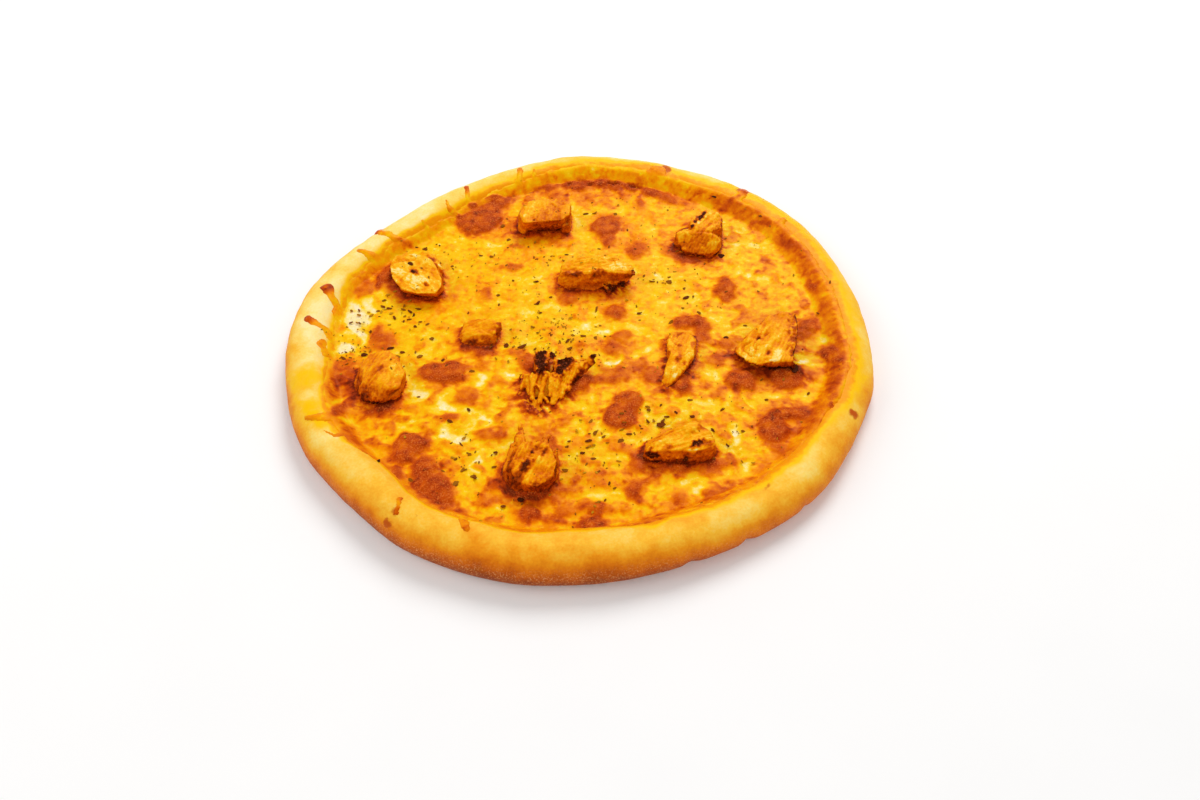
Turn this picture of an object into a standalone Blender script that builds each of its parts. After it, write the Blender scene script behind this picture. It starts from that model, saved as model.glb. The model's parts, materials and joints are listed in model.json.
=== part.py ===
"""A whole, uncut chicken pizza, about 30 cm across.

The pizza lies on its flat underside with its centre on the world origin:
a dough crust with a raised, puffy rim, a thin layer of tomato sauce, a
layer of melted cheese with herb flakes and drips that climb the rim, and
eleven pieces of roast chicken that sit in pockets in the cheese.

All sizes in this file are in millimetres and are turned into metres when
a mesh is made. Angles are in degrees, counter-clockwise from +X.
"""

import random
from math import atan2, ceil, cos, degrees, hypot, pi, radians, sin

import bmesh
import bpy
from mathutils import Euler, Vector, geometry, noise
from mathutils.bvhtree import BVHTree

MM = 0.001
GAP = 0.35

# The crust: its outline radius every 15 degrees and rim height every 45.
OUTLINE_RADII = [147, 148, 149.5, 148.5, 146, 146, 146, 141, 137, 135.5, 140, 146.5,
                 148, 147, 147, 145.5, 147, 146.5, 145.5, 144, 145.5, 148, 148, 149]
RIM_HEIGHTS = [16, 16.5, 17, 17.5, 18, 18.5, 19, 17.5]
BED_HEIGHT = 6.0
CRUST_TURNS = 72
OUTLINE_WOBBLE = 0.7
HEIGHT_WOBBLE = 0.6
# The rim's section: distance in from the outline, and share of the rim height.
RIM_SECTION = [(6.5, 0.0), (3.0, 0.05), (0.9, 0.19), (0.0, 0.42), (0.8, 0.62), (3.0, 0.80), (7.0, 0.95),
               (12.0, 1.0), (17.0, 0.93), (21.0, 0.74), (24.5, 0.53), (27.5, 0.41)]
BED_INSET = 31.0

# The sauce: a skin on the dough that shows past the cheese at the back.
SAUCE_THICK = 0.8
SAUCE_INSET = 30.0
SAUCE_SHOWN_INSET = 24.5
SAUCE_SHOWN_FROM, SAUCE_SHOWN_TO = 62.0, 108.0

# The cheese: how far in from the outline it ends, every 15 degrees.
CHEESE_INSETS = [13, 13, 14, 15, 19, 26, 29, 27, 20, 20, 19, 20,
                 24, 19, 17, 22, 20, 21, 22, 19, 18, 20, 16, 12]
CHEESE_LEVEL = 9.9
CHEESE_SWELL = 0.55
CHEESE_EDGE_THICK = 1.0
CHEESE_CELL = 6.6
EDGE_STEPS = 144
EDGE_WOBBLE = 1.6
CLEAR_OF_EDGES = 2.4
CLEAR_OF_POCKETS = 3.6
RING_CLEAR_OF_EDGES = 1.2
EXTRA_RING_INSETS = [14.5, 19.0]
DRIP_STEP = 2.5
LEAST_LIFT = 1.0
PAST_SAUCE_MARGIN = 3.0

# Drips of cheese that climb the rim: points of the middle line, and widths.
DRIPS = [
    ([(-119, -2), (-123.3, 9.9), (-125.5, 20.8), (-132.4, 29.8)], [6.0, 4.6, 4.8, 7.0]),
    ([(-121, -8), (-124, -6), (-128.9, 0.5), (-137.3, 6.3)], [7.0, 6.0, 4.4, 4.6]),
    ([(42, 108), (44, 116), (47.5, 126.9)], [11.0, 7.0, 11.0]),
    ([(-58, 99), (-62.8, 106), (-63.9, 114.3)], [6.0, 4.6, 4.2]),
]

# Browned blisters: centre, half sizes along and across, turn, and height.
BLISTERS = [
    (-57, 93, 14, 12, 60, 1.5), (15, 80, 9, 7, 80, 1.0), (-65, -29, 14, 8, 8, 1.4),
    (-54, -43, 7, 6, 0, 1.0), (-113, 34, 7, 6, 90, 1.2), (20, 11, 8, 7, 0, 0.9),
    (21, -11, 10, 7, 60, 1.2), (17, -34, 11, 7, 20, 1.1), (21, -56, 14, 9, 55, 1.6),
    (-77, -75, 10, 8, 70, 1.5), (-65, -96, 17, 8, 115, 1.5), (-84, -92, 7, 5, 60, 1.0),
    (91, -69, 14, 9, 60, 1.6), (107, -61, 11, 5, 0, 1.2), (80, -38, 9, 8, 0, 1.2),
    (101, -40, 9, 8, 90, 1.2), (58, 2, 9, 7, 0, 1.2), (125, -22, 8, 7, 0, 1.1),
    (78, 26, 10, 7, 100, 1.2), (26, -102, 8, 5, 50, 1.0), (8, -118, 7, 6, 0, 1.0),
    (-98, -4, 10, 8, 100, 1.0), (-40, -68, 9, 5, 170, 1.0), (63, -90, 9, 5, 20, 0.9),
]

# Herb flakes: clusters as centre, spread and count.
HERB_CLUSTERS = [(-98, 14, 11, 8), (-14, -2, 17, 11), (8, -76, 15, 8),
                 (74, -52, 22, 6), (-52, -80, 18, 5), (0, 0, 75, 14)]
HERB_SEED = 11
HERB_SIDES = 6
HERB_THICK = 0.9
HERB_LENGTHS = (2.8, 4.6)
HERB_APART = 6.5

# The chicken: outline points of each piece, its top, and its foot's share.
POCKET_FLOOR = 8.1
CHICKEN_FLOOR = POCKET_FLOOR + GAP
CHICKEN_SIDES = 20
CHICKEN = [
    dict(top=22.0, foot=0.94, lean=(0, -1.0),
         outline=[(-34, 76), (-27, 72), (-12, 72), (-4, 76), (-3, 85), (-9, 93), (-22, 94), (-33, 88)]),
    dict(top=18.0, foot=0.92, lean=(0, 0),
         outline=[(-99, 45), (-97, 34), (-88, 29), (-78, 27), (-71, 29), (-71, 40), (-76, 50), (-85, 54),
                  (-94, 53)]),
    dict(top=23.0, foot=0.92, lean=(0, 0.5),
         outline=[(54, 66), (59, 57), (69, 51), (78, 56), (82, 67), (79, 77), (69, 79), (58, 75)]),
    dict(top=22.5, foot=0.94, lean=(0, 1.5),
         outline=[(-10, 30), (-5, 25), (8, 25), (20, 25), (28, 31), (30, 38), (24, 43), (6, 43), (-8, 40)]),
    dict(top=17.0, foot=0.94, lean=(0, 0),
         outline=[(-60, -7), (-55, -13), (-47, -15), (-41, -12), (-39, -4), (-42, 2), (-50, 4), (-58, 1)]),
    dict(top=20.0, foot=0.84, lean=(0, 0),
         outline=[(74, -20), (80, -16), (92, -9), (102, -3), (110, -3), (112, -9), (109, -20), (106, -32),
                  (98, -36), (85, -35), (78, -29)]),
    dict(top=20.5, foot=0.90, lean=(1.0, 0),
         outline=[(-110, -36), (-107, -27), (-98, -23), (-88, -27), (-84, -36), (-87, -46), (-95, -50),
                  (-104, -45)]),
    dict(top=19.5, foot=0.92, lean=(0, 0),
         outline=[(-25, -42), (-22, -29), (-12, -26), (0, -27), (8, -28), (5, -36), (-3, -43), (-11, -51),
                  (-19, -56), (-26, -52)]),
    dict(top=16.5, foot=0.94, lean=(0, 0),
         outline=[(48, -8), (46, -19), (42, -31), (41, -40), (45, -43), (51, -37), (57, -29), (61, -19),
                  (61, -10), (55, -5)]),
    dict(top=22.0, foot=0.94, lean=(0, 1.0),
         outline=[(-34, -97), (-35, -87), (-32, -77), (-24, -71), (-15, -73), (-10, -81), (-9, -91),
                  (-13, -101), (-24, -104)]),
    dict(top=21.0, foot=0.92, lean=(0, 1.0),
         outline=[(29, -82), (31, -76), (40, -72), (51, -69), (60, -72), (63, -80), (60, -87), (50, -90),
                  (38, -90)]),
]
# A piece's section from its floor up: share of its outline, share of its height.
CHICKEN_SECTION = [(1.04, 0.30), (1.0, 0.62), (0.86, 0.88), (0.55, 1.0)]
CHICKEN_WAIST = 11.9
CHICKEN_RUGGED = 0.9

DOUGH_COLOUR = (0.86, 0.50, 0.12, 1)
SAUCE_COLOUR = (0.42, 0.05, 0.01, 1)
CHEESE_COLOUR = (0.95, 0.50, 0.03, 1)
CHICKEN_COLOUR = (0.70, 0.26, 0.03, 1)


def clear_scene():
    for item in list(bpy.data.objects):
        bpy.data.objects.remove(item, do_unlink=True)


def round_value(values, angle):
    """Read a list of values spaced evenly round the pizza, smoothly between them."""
    count = len(values)
    place = (angle % 360.0) / 360.0 * count
    first = int(place)
    t = place - first
    a, b, c, d = (values[(first + k) % count] for k in (-1, 0, 1, 2))
    return 0.5 * (2 * b + (c - a) * t + (2 * a - 5 * b + 4 * c - d) * t * t
                  + (3 * b - a - 3 * c + d) * t ** 3)


def wobble(angle, scale, seed):
    """Smooth unevenness that closes on itself round the pizza."""
    at = Vector((cos(radians(angle)) * scale, sin(radians(angle)) * scale, seed))
    return noise.noise(at)


def outline_radius(angle):
    return round_value(OUTLINE_RADII, angle) + OUTLINE_WOBBLE * wobble(angle, 3.5, 2.0)


def rim_height(angle):
    return round_value(RIM_HEIGHTS, angle) + HEIGHT_WOBBLE * wobble(angle, 2.5, 7.0)


def middle_of_outline():
    """The middle of the crust's box, which is moved onto the origin."""
    turns = [k * 360.0 / CRUST_TURNS for k in range(CRUST_TURNS)]
    xs = [outline_radius(a) * cos(radians(a)) for a in turns]
    ys = [outline_radius(a) * sin(radians(a)) for a in turns]
    return (min(xs) + max(xs)) / 2, (min(ys) + max(ys)) / 2


MIDDLE_X, MIDDLE_Y = middle_of_outline()


def on_pizza(angle, inset):
    """The point on the plan that lies this far in from the outline."""
    r = outline_radius(angle) - inset
    return r * cos(radians(angle)) - MIDDLE_X, r * sin(radians(angle)) - MIDDLE_Y


def inset_of(x, y):
    """How far in from the outline a point on the plan lies."""
    px, py = x + MIDDLE_X, y + MIDDLE_Y
    return outline_radius(degrees(atan2(py, px))) - hypot(px, py)


def make_material(name, colour, roughness):
    material = bpy.data.materials.new(name)
    material.use_nodes = True
    shader = material.node_tree.nodes["Principled BSDF"]
    shader.inputs["Base Color"].default_value = colour
    shader.inputs["Roughness"].default_value = roughness
    shader.inputs["Metallic"].default_value = 0.0
    return material


def make_object(name, mesh_builder, material):
    """Turn a bmesh in millimetres into a named object in metres."""
    bmesh.ops.triangulate(mesh_builder, faces=mesh_builder.faces[:])
    bmesh.ops.recalc_face_normals(mesh_builder, faces=mesh_builder.faces[:])
    bmesh.ops.scale(mesh_builder, vec=(MM, MM, MM), verts=mesh_builder.verts[:])
    mesh = bpy.data.meshes.new(name)
    mesh_builder.to_mesh(mesh)
    mesh_builder.free()
    mesh.shade_smooth()
    mesh.materials.append(material)
    item = bpy.data.objects.new(name, mesh)
    bpy.context.scene.collection.objects.link(item)
    return item


def loft(mesh_builder, rings, first_tip, last_tip):
    """Skin a stack of closed rings and shut its ends with fans to two tips."""
    rows = [[mesh_builder.verts.new(point) for point in ring] for ring in rings]
    count = len(rows[0])
    for low, high in zip(rows, rows[1:]):
        for k in range(count):
            n = (k + 1) % count
            mesh_builder.faces.new((low[k], low[n], high[n], high[k]))
    for row, tip in ((rows[0], first_tip), (rows[-1], last_tip)):
        apex = mesh_builder.verts.new(tip)
        for k in range(count):
            mesh_builder.faces.new((row[k], row[(k + 1) % count], apex))


def make_crust():
    """The dough: a flat base and a puffy rim, lofted from the rim's section."""
    mesh_builder = bmesh.new()
    turns = [k * 360.0 / CRUST_TURNS for k in range(CRUST_TURNS)]
    rings = []
    for inset, share in RIM_SECTION:
        ring = []
        for angle in turns:
            x, y = on_pizza(angle, inset)
            height = rim_height(angle) * share
            if inset > 20:
                height = max(height, BED_HEIGHT)
            ring.append((x, y, height))
        rings.append(ring)
    rings.append([(*on_pizza(angle, BED_INSET), BED_HEIGHT) for angle in turns])
    loft(mesh_builder, rings, (0, 0, 0), (0, 0, BED_HEIGHT))
    return make_object("crust", mesh_builder, make_material("baked dough", DOUGH_COLOUR, 0.6))


class DoughSurface:
    """Answers how high the dough's upper face is at a point on the plan."""

    def __init__(self, crust):
        points = [vertex.co / MM for vertex in crust.data.vertices]
        faces = [tuple(face.vertices) for face in crust.data.polygons]
        self.tree = BVHTree.FromPolygons(points, faces)

    def height(self, x, y):
        hit = self.tree.ray_cast(Vector((x, y, 60.0)), Vector((0, 0, -1)))
        return hit[0].z


def sauce_inset(angle):
    """The sauce ends under the cheese, and past it in the stretch where it shows."""
    middle = (SAUCE_SHOWN_FROM + SAUCE_SHOWN_TO) / 2
    half = (SAUCE_SHOWN_TO - SAUCE_SHOWN_FROM) / 2
    away = abs((angle - middle + 180) % 360 - 180)
    share = min(1.0, max(0.0, (half + 6.0 - away) / 6.0))
    return SAUCE_INSET + (SAUCE_SHOWN_INSET - SAUCE_INSET) * share


def make_sauce(dough):
    """The tomato sauce: a thin skin that follows the dough under it."""
    mesh_builder = bmesh.new()
    turns = [k * 360.0 / CRUST_TURNS for k in range(CRUST_TURNS)]
    low, high = [], []
    for inset in (0.0, 2.9, 6.5):
        low_ring, high_ring = [], []
        for angle in turns:
            x, y = on_pizza(angle, sauce_inset(angle) + inset)
            under = dough.height(x, y) + GAP
            low_ring.append((x, y, under))
            high_ring.append((x, y, under + SAUCE_THICK))
        low.append(low_ring)
        high.append(high_ring)
    rings = low[::-1] + high
    floor = BED_HEIGHT + GAP
    loft(mesh_builder, rings, (0, 0, floor), (0, 0, floor + SAUCE_THICK))
    return make_object("tomato_sauce", mesh_builder, make_material("tomato sauce", SAUCE_COLOUR, 0.3))


def smooth_loop(points, count):
    """A closed smooth curve through the points, read at evenly spaced places."""
    dense = []
    steps = 24
    size = len(points)
    for k in range(size):
        a, b, c, d = (Vector(points[(k + j) % size]) for j in (-1, 0, 1, 2))
        for s in range(steps):
            t = s / steps
            dense.append(0.5 * (2 * b + (c - a) * t + (2 * a - 5 * b + 4 * c - d) * t * t
                                + (3 * b - a - 3 * c + d) * t ** 3))
    lengths = [0.0]
    for k in range(len(dense)):
        lengths.append(lengths[-1] + (dense[(k + 1) % len(dense)] - dense[k]).length)
    loop = []
    place = 0
    for k in range(count):
        target = lengths[-1] * k / count
        while lengths[place + 1] < target:
            place += 1
        share = (target - lengths[place]) / (lengths[place + 1] - lengths[place])
        loop.append(dense[place].lerp(dense[(place + 1) % len(dense)], share))
    return loop


def scaled_loop(loop, share, grow=0.0, shift=(0.0, 0.0)):
    """The loop drawn in towards its middle by a share, then out by a distance."""
    middle = sum(loop, Vector((0, 0))) / len(loop)
    result = []
    for point in loop:
        arm = (point - middle) * share
        result.append(middle + arm + arm.normalized() * grow + Vector(shift))
    return result


def fine_line(points, widths):
    """A drip's middle line and widths, read at close, even steps."""
    line, band = [], []
    for k in range(len(points) - 1):
        a, b = Vector(points[k]), Vector(points[k + 1])
        steps = max(1, round((b - a).length / DRIP_STEP))
        for s in range(steps):
            line.append(a.lerp(b, s / steps))
            band.append(widths[k] + (widths[k + 1] - widths[k]) * s / steps)
    return line + [Vector(points[-1])], band + [widths[-1]]


def drip_loop(points, widths):
    """The outline of a drip: a tapered band with a round tip along its middle line."""
    line, widths = fine_line(points, widths)
    left, right = [], []
    for k, (point, width) in enumerate(zip(line, widths)):
        along = (line[min(k + 1, len(line) - 1)] - line[max(k - 1, 0)]).normalized()
        across = Vector((-along.y, along.x)) * width / 2
        left.append(point + across)
        right.append(point - across)
    tip_along = (line[-1] - line[-2]).normalized()
    tip_across = Vector((-tip_along.y, tip_along.x))
    tip = []
    for turn in (60, 30, 0, -30, -60):
        arm = tip_along * cos(radians(turn)) + tip_across * sin(radians(turn))
        tip.append(line[-1] + arm * widths[-1] / 2)
    return left + tip + right[::-1]


def inside(point, loop):
    """Whether a point on the plan lies inside a closed loop."""
    x, y = point
    found = False
    for k in range(len(loop)):
        ax, ay = loop[k]
        bx, by = loop[k - 1]
        if (ay > y) != (by > y) and x < (bx - ax) * (y - ay) / (by - ay) + ax:
            found = not found
    return found


def clear_of(point, loops, distance):
    """Whether a point keeps at least this distance from every loop's sides."""
    for loop in loops:
        for k in range(len(loop)):
            a, b = loop[k - 1], loop[k]
            side = b - a
            t = max(0.0, min(1.0, (point - a).dot(side) / side.length_squared))
            if (point - a - side * t).length < distance:
                return False
    return True


def cheese_edge_loop():
    loop = []
    for k in range(EDGE_STEPS):
        angle = k * 360.0 / EDGE_STEPS
        inset = round_value(CHEESE_INSETS, angle) + EDGE_WOBBLE * wobble(angle, 9.0, 4.0)
        loop.append(Vector(on_pizza(angle, inset)))
    return loop


def blister_rise(x, y):
    """How far the browned blisters lift the cheese at a point."""
    rise = 0.0
    for cx, cy, along, across, turn, height in BLISTERS:
        c, s = cos(radians(turn)), sin(radians(turn))
        u = ((x - cx) * c + (y - cy) * s) / along
        v = ((y - cy) * c - (x - cx) * s) / across
        rise = max(rise, height * max(0.0, 1 - u * u - v * v) ** 0.7)
    return rise


def cheese_floor(x, y, dough):
    """The cheese's lower face: over the sauce, and close to the dough beyond it."""
    angle = degrees(atan2(y + MIDDLE_Y, x + MIDDLE_X))
    past_sauce = sauce_inset(angle) - inset_of(x, y) - PAST_SAUCE_MARGIN
    lift = GAP + SAUCE_THICK + GAP
    if past_sauce > 0:
        lift = max(LEAST_LIFT, lift - past_sauce * 0.25)
    return dough.height(x, y) + lift


def cheese_top(x, y, floor):
    """The cheese's upper face: level over the bed, thin where it climbs the rim."""
    swell = CHEESE_SWELL * (noise.noise(Vector((x / 17, y / 17, 3.0)))
                            + 0.6 * noise.noise(Vector((x / 8, y / 8, 9.0))))
    level = CHEESE_LEVEL + swell + blister_rise(x, y)
    return max(level, floor + CHEESE_EDGE_THICK)


def cheese_grid():
    """Inner points of the cheese: a hexagonal field, and rings where it meets the rim."""
    points = []
    row_height = CHEESE_CELL * 3 ** 0.5 / 2
    reach = ceil(150 / CHEESE_CELL)
    for row in range(-reach - 3, reach + 4):
        for column in range(-reach, reach + 1):
            x = (column + 0.5 * (row % 2)) * CHEESE_CELL
            y = row * row_height
            if inset_of(x, y) > BED_INSET + 2:
                points.append(Vector((x, y)))
    return points


def rim_rings():
    """Rings of points over the corners of the rim's section, where the dough is bent."""
    points = []
    section = [inset for inset, _ in RIM_SECTION if inset > 10]
    for inset in section + EXTRA_RING_INSETS + [BED_INSET - 0.5]:
        for k in range(CRUST_TURNS):
            points.append(Vector(on_pizza(k * 360.0 / CRUST_TURNS, inset)))
    return points


def fill_region(outer_loops, holes, field, rings):
    """Triangulate what lies inside any outer loop and outside every hole."""
    loops = outer_loops + holes
    points = []
    sides = []
    for loop in loops:
        start = len(points)
        points.extend(loop)
        sides.extend((start + k, start + (k + 1) % len(loop)) for k in range(len(loop)))
    points.extend(point for point in field if clear_of(point, loops, CLEAR_OF_EDGES))
    points.extend(point for point in rings if clear_of(point, loops, RING_CLEAR_OF_EDGES))
    found, _, triangles, _, _, _ = geometry.delaunay_2d_cdt(points, sides, [], 0, 1e-5)
    kept = []
    for triangle in triangles:
        middle = sum((found[k] for k in triangle), Vector((0, 0))) / 3
        in_region = any(inside(middle, loop) for loop in outer_loops)
        if in_region and not any(inside(middle, loop) for loop in holes):
            kept.append(triangle)
    return found, kept


def add_face_sheet(mesh_builder, found, kept, height_at):
    """Add one face of the cheese, and return its corners by their place on the plan."""
    corners = {}
    for triangle in kept:
        corner = []
        for k in triangle:
            key = (round(found[k].x, 4), round(found[k].y, 4))
            if key not in corners:
                corners[key] = mesh_builder.verts.new((*found[k], height_at(*found[k])))
            corner.append(corners[key])
        mesh_builder.faces.new(corner)
    return corners


def make_cheese(dough, pockets):
    """The melted cheese: two triangulated faces, its outer wall, and the pockets."""
    mesh_builder = bmesh.new()
    outer = [cheese_edge_loop()] + [drip_loop(points, widths) for points, widths in DRIPS]

    def floor_at(x, y):
        return cheese_floor(x, y, dough)

    def top_at(x, y):
        return cheese_top(x, y, floor_at(x, y))

    high = add_face_sheet(mesh_builder, *fill_region(outer, pockets, cheese_grid(), rim_rings()), top_at)
    border = [edge for edge in mesh_builder.edges if len(edge.link_faces) == 1]
    border_keys = [[(round(v.co.x, 4), round(v.co.y, 4)) for v in edge.verts] for edge in border]
    low = add_face_sheet(mesh_builder, *fill_region(outer, [], [], rim_rings()), floor_at)
    for pocket in pockets:
        floor = [mesh_builder.verts.new((*point, POCKET_FLOOR)) for point in pocket]
        mesh_builder.faces.new(floor)
        low.update(zip(((round(point.x, 4), round(point.y, 4)) for point in pocket), floor))
    for a, b in border_keys:
        mesh_builder.faces.new((high[a], high[b], low[b], low[a]))
    return make_object("melted_cheese", mesh_builder, make_material("melted cheese", CHEESE_COLOUR, 0.35))


def herb_places(pockets, edge):
    """Seeded places for the flakes: clusters, kept clear of edges and each other."""
    draw = random.Random(HERB_SEED)
    places = []
    for cx, cy, spread, count in HERB_CLUSTERS:
        made = 0
        for _ in range(count * 60):
            if made == count:
                break
            point = Vector((draw.gauss(cx, spread * 0.6), draw.gauss(cy, spread * 0.6)))
            apart = all((point - other).length > HERB_APART for other in places)
            if not apart or not inside(point, edge) or inset_of(*point) < BED_INSET + 3:
                continue
            if any(inside(point, pocket) for pocket in pockets) or not clear_of(point, pockets, CLEAR_OF_POCKETS):
                continue
            places.append(point)
            made += 1
    return places


def make_flakes(pockets, edge, dough):
    """Herb flakes: thin, curled, six-sided solids, half sunk in the cheese."""
    draw = random.Random(HERB_SEED + 1)
    flakes = bpy.data.collections.new("herb flakes")
    bpy.context.scene.collection.children.link(flakes)
    material = make_material("dried herb", (0.08, 0.05, 0.01, 1), 0.7)
    for k, place in enumerate(herb_places(pockets, edge)):
        mesh_builder = bmesh.new()
        length = draw.uniform(*HERB_LENGTHS)
        width = length * draw.uniform(0.4, 0.6)
        lift = cheese_top(*place, cheese_floor(*place, dough))
        rings = []
        for side in (-0.5, 0.5):
            ring = []
            for s in range(HERB_SIDES):
                angle = 2 * pi * s / HERB_SIDES
                x = length / 2 * cos(angle)
                y = width / 2 * sin(angle)
                curl = 0.5 * (2 * x / length) ** 2 * sin(3 * angle + k)
                ring.append((x, y, side * HERB_THICK + curl * 0.4))
            rings.append(ring)
        loft(mesh_builder, rings, (0, 0, -0.5 * HERB_THICK), (0, 0, 0.5 * HERB_THICK))
        turn = Euler((draw.uniform(-0.25, 0.25), draw.uniform(-0.25, 0.25), draw.uniform(0, pi)))
        bmesh.ops.rotate(mesh_builder, matrix=turn.to_matrix(), verts=mesh_builder.verts[:])
        bmesh.ops.translate(mesh_builder, vec=(*place, lift + 0.15), verts=mesh_builder.verts[:])
        flake = make_object(f"flake_{k:02d}", mesh_builder, material)
        bpy.context.scene.collection.objects.unlink(flake)
        flakes.objects.link(flake)
    return flakes


def fuse(body, extras):
    """Join a collection's solids to a body and clear the collection away."""
    union = body.modifiers.new("fuse", "BOOLEAN")
    union.operation = "UNION"
    union.operand_type = "COLLECTION"
    union.collection = extras
    union.solver = "EXACT"
    evaluated = body.evaluated_get(bpy.context.evaluated_depsgraph_get())
    mesh = bpy.data.meshes.new_from_object(evaluated)
    body.modifiers.clear()
    body.data = mesh
    for item in list(extras.objects):
        bpy.data.objects.remove(item, do_unlink=True)
    bpy.data.collections.remove(extras)


def chicken_loop(piece):
    return smooth_loop(piece["outline"], CHICKEN_SIDES)


def make_chicken(index, piece):
    """One piece of chicken: a rugged block on a narrower foot inside the cheese."""
    mesh_builder = bmesh.new()
    loop = chicken_loop(piece)
    middle = sum(loop, Vector((0, 0))) / len(loop)
    foot = scaled_loop(loop, piece["foot"])
    rings = [[(*point, CHICKEN_FLOOR) for point in foot],
             [(*point, CHICKEN_WAIST - 0.6) for point in foot]]
    for share, height in CHICKEN_SECTION:
        lean = Vector(piece["lean"]) * height
        ring = []
        for point in scaled_loop(loop, share, shift=lean):
            rugged = CHICKEN_RUGGED * noise.noise(Vector((point.x / 5, point.y / 5, index * 3.1)))
            z = CHICKEN_WAIST + (piece["top"] - CHICKEN_WAIST) * height
            outward = (point - middle).normalized() * rugged
            ring.append((point.x + outward.x, point.y + outward.y, z + rugged * height))
        rings.append(ring)
    crown = middle + Vector(piece["lean"])
    loft(mesh_builder, rings, (*middle, CHICKEN_FLOOR), (*crown, piece["top"] + 0.3))
    return make_object(f"chicken_{index:02d}", mesh_builder,
                       make_material(f"roast chicken {index}", CHICKEN_COLOUR, 0.55))


def main():
    clear_scene()
    crust = make_crust()
    dough = DoughSurface(crust)
    make_sauce(dough)
    pockets = [scaled_loop(chicken_loop(piece), piece["foot"], grow=GAP) for piece in CHICKEN]
    cheese = make_cheese(dough, pockets)
    fuse(cheese, make_flakes(pockets, cheese_edge_loop(), dough))
    for index, piece in enumerate(CHICKEN, start=1):
        make_chicken(index, piece)


main()
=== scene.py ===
# %% [markdown]
# # A chicken pizza, cell by cell
#
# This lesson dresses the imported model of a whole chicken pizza, 30 cm across:
# a baked dough rim, tomato sauce under a bed of melted and browned cheese, eleven
# pieces of roast chicken, and dried herbs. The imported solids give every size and
# place. Each step below makes the fine surface of one of them.
#
# Lengths are in millimetres while a shape is worked out, because food is thought
# of in millimetres, and in metres only when the mesh is made.

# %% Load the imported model
import json
from itertools import product
from math import cos, pi, radians, sin

import bmesh
import bpy
import numpy as np
from mathutils import Matrix, Vector, kdtree
from mathutils import noise as lattice

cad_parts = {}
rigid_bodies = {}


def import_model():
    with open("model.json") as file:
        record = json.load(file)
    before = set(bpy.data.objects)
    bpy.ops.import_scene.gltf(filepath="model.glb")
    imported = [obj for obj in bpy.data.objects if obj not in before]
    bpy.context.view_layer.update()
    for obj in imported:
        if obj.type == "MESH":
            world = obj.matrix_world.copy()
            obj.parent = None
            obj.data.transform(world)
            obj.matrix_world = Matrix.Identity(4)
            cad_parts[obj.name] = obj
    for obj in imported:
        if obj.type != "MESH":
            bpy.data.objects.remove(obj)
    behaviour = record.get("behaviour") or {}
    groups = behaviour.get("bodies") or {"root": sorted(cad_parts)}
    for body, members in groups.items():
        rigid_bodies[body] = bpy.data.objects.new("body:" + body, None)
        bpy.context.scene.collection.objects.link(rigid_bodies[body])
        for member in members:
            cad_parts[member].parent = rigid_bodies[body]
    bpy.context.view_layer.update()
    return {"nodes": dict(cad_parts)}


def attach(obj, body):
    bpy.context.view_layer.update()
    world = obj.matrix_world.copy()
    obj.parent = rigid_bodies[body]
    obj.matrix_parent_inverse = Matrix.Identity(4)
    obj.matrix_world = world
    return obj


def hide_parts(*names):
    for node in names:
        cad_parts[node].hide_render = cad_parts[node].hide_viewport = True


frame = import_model()
MM = 0.001
print("nodes:", len(frame["nodes"]))

# %% [markdown]
# ## The camera
#
# The pizza is seen from the front and from above, at about 49 degrees, from half
# a metre away. That close, the far rim looks much flatter than the near one, so
# the camera's place matters as much as its angle. The camera is built from its
# own three axes, because it is also rolled by a little more than a degree.

# %% Place the camera
PHOTO_WIDTH = 1200
FOCAL_PIXELS = 1000
SENSOR_WIDTH = 36.0
CAMERA_AT = Vector((10.7, -360.8, 373.4))
CAMERA_PITCH = 49.24
CAMERA_ROLL = -1.31


def make_camera():
    pitch, roll = radians(CAMERA_PITCH), radians(CAMERA_ROLL)
    forward = Vector((0, cos(pitch), -sin(pitch)))
    level_up = Vector((0, sin(pitch), cos(pitch)))
    level_right = Vector((1, 0, 0))
    right = level_right * cos(roll) + level_up * sin(roll)
    up = level_up * cos(roll) - level_right * sin(roll)
    data = bpy.data.cameras.new("camera")
    data.sensor_fit = "HORIZONTAL"
    data.sensor_width = SENSOR_WIDTH
    data.lens = SENSOR_WIDTH * FOCAL_PIXELS / PHOTO_WIDTH
    camera = bpy.data.objects.new("camera", data)
    turn = Matrix((right, up, -forward)).transposed().to_4x4()
    camera.matrix_world = Matrix.Translation(CAMERA_AT * MM) @ turn
    bpy.context.scene.collection.objects.link(camera)
    bpy.context.scene.camera = camera
    return camera


camera = make_camera()
print("lens:", round(camera.data.lens, 1), "mm")

# %% [markdown]
# ## Where things are
#
# Spots and blisters were measured on the pizza as they are seen against one flat
# level, 11 mm above the table. A point that stands higher is seen further back
# than it is. `as_seen` gives, for any point of the pizza, the place on that level
# that it covers, so one list of measured places serves cheese, rim and chicken.

# %% From true places to measured places
SEEN_LEVEL = 11.0


def as_seen(x, y, z):
    """The place on the measuring level that a point covers."""
    reach = (CAMERA_AT.z - SEEN_LEVEL) / (CAMERA_AT.z - z)
    return CAMERA_AT.x + (x - CAMERA_AT.x) * reach, CAMERA_AT.y + (y - CAMERA_AT.y) * reach


# %% [markdown]
# ## Unevenness
#
# Nothing on a pizza is even, so most shapes and masks below are bent by noise.
# Blender's own noise works on one point at a time. This gradient noise does the
# same for a hundred thousand points at once, with arrays.

# %% Noise for many points at once
HASH_PRIMES = (73856093, 19349663, 83492791)
HASH_SEED = 2654435761
HASH_MIX = 1274126177
SLOPE_STEPS = 1023
NOISE_GAIN = 1.6
SEED_SHIFT = 0.37
OCTAVE_SEEDS = 17


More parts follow.
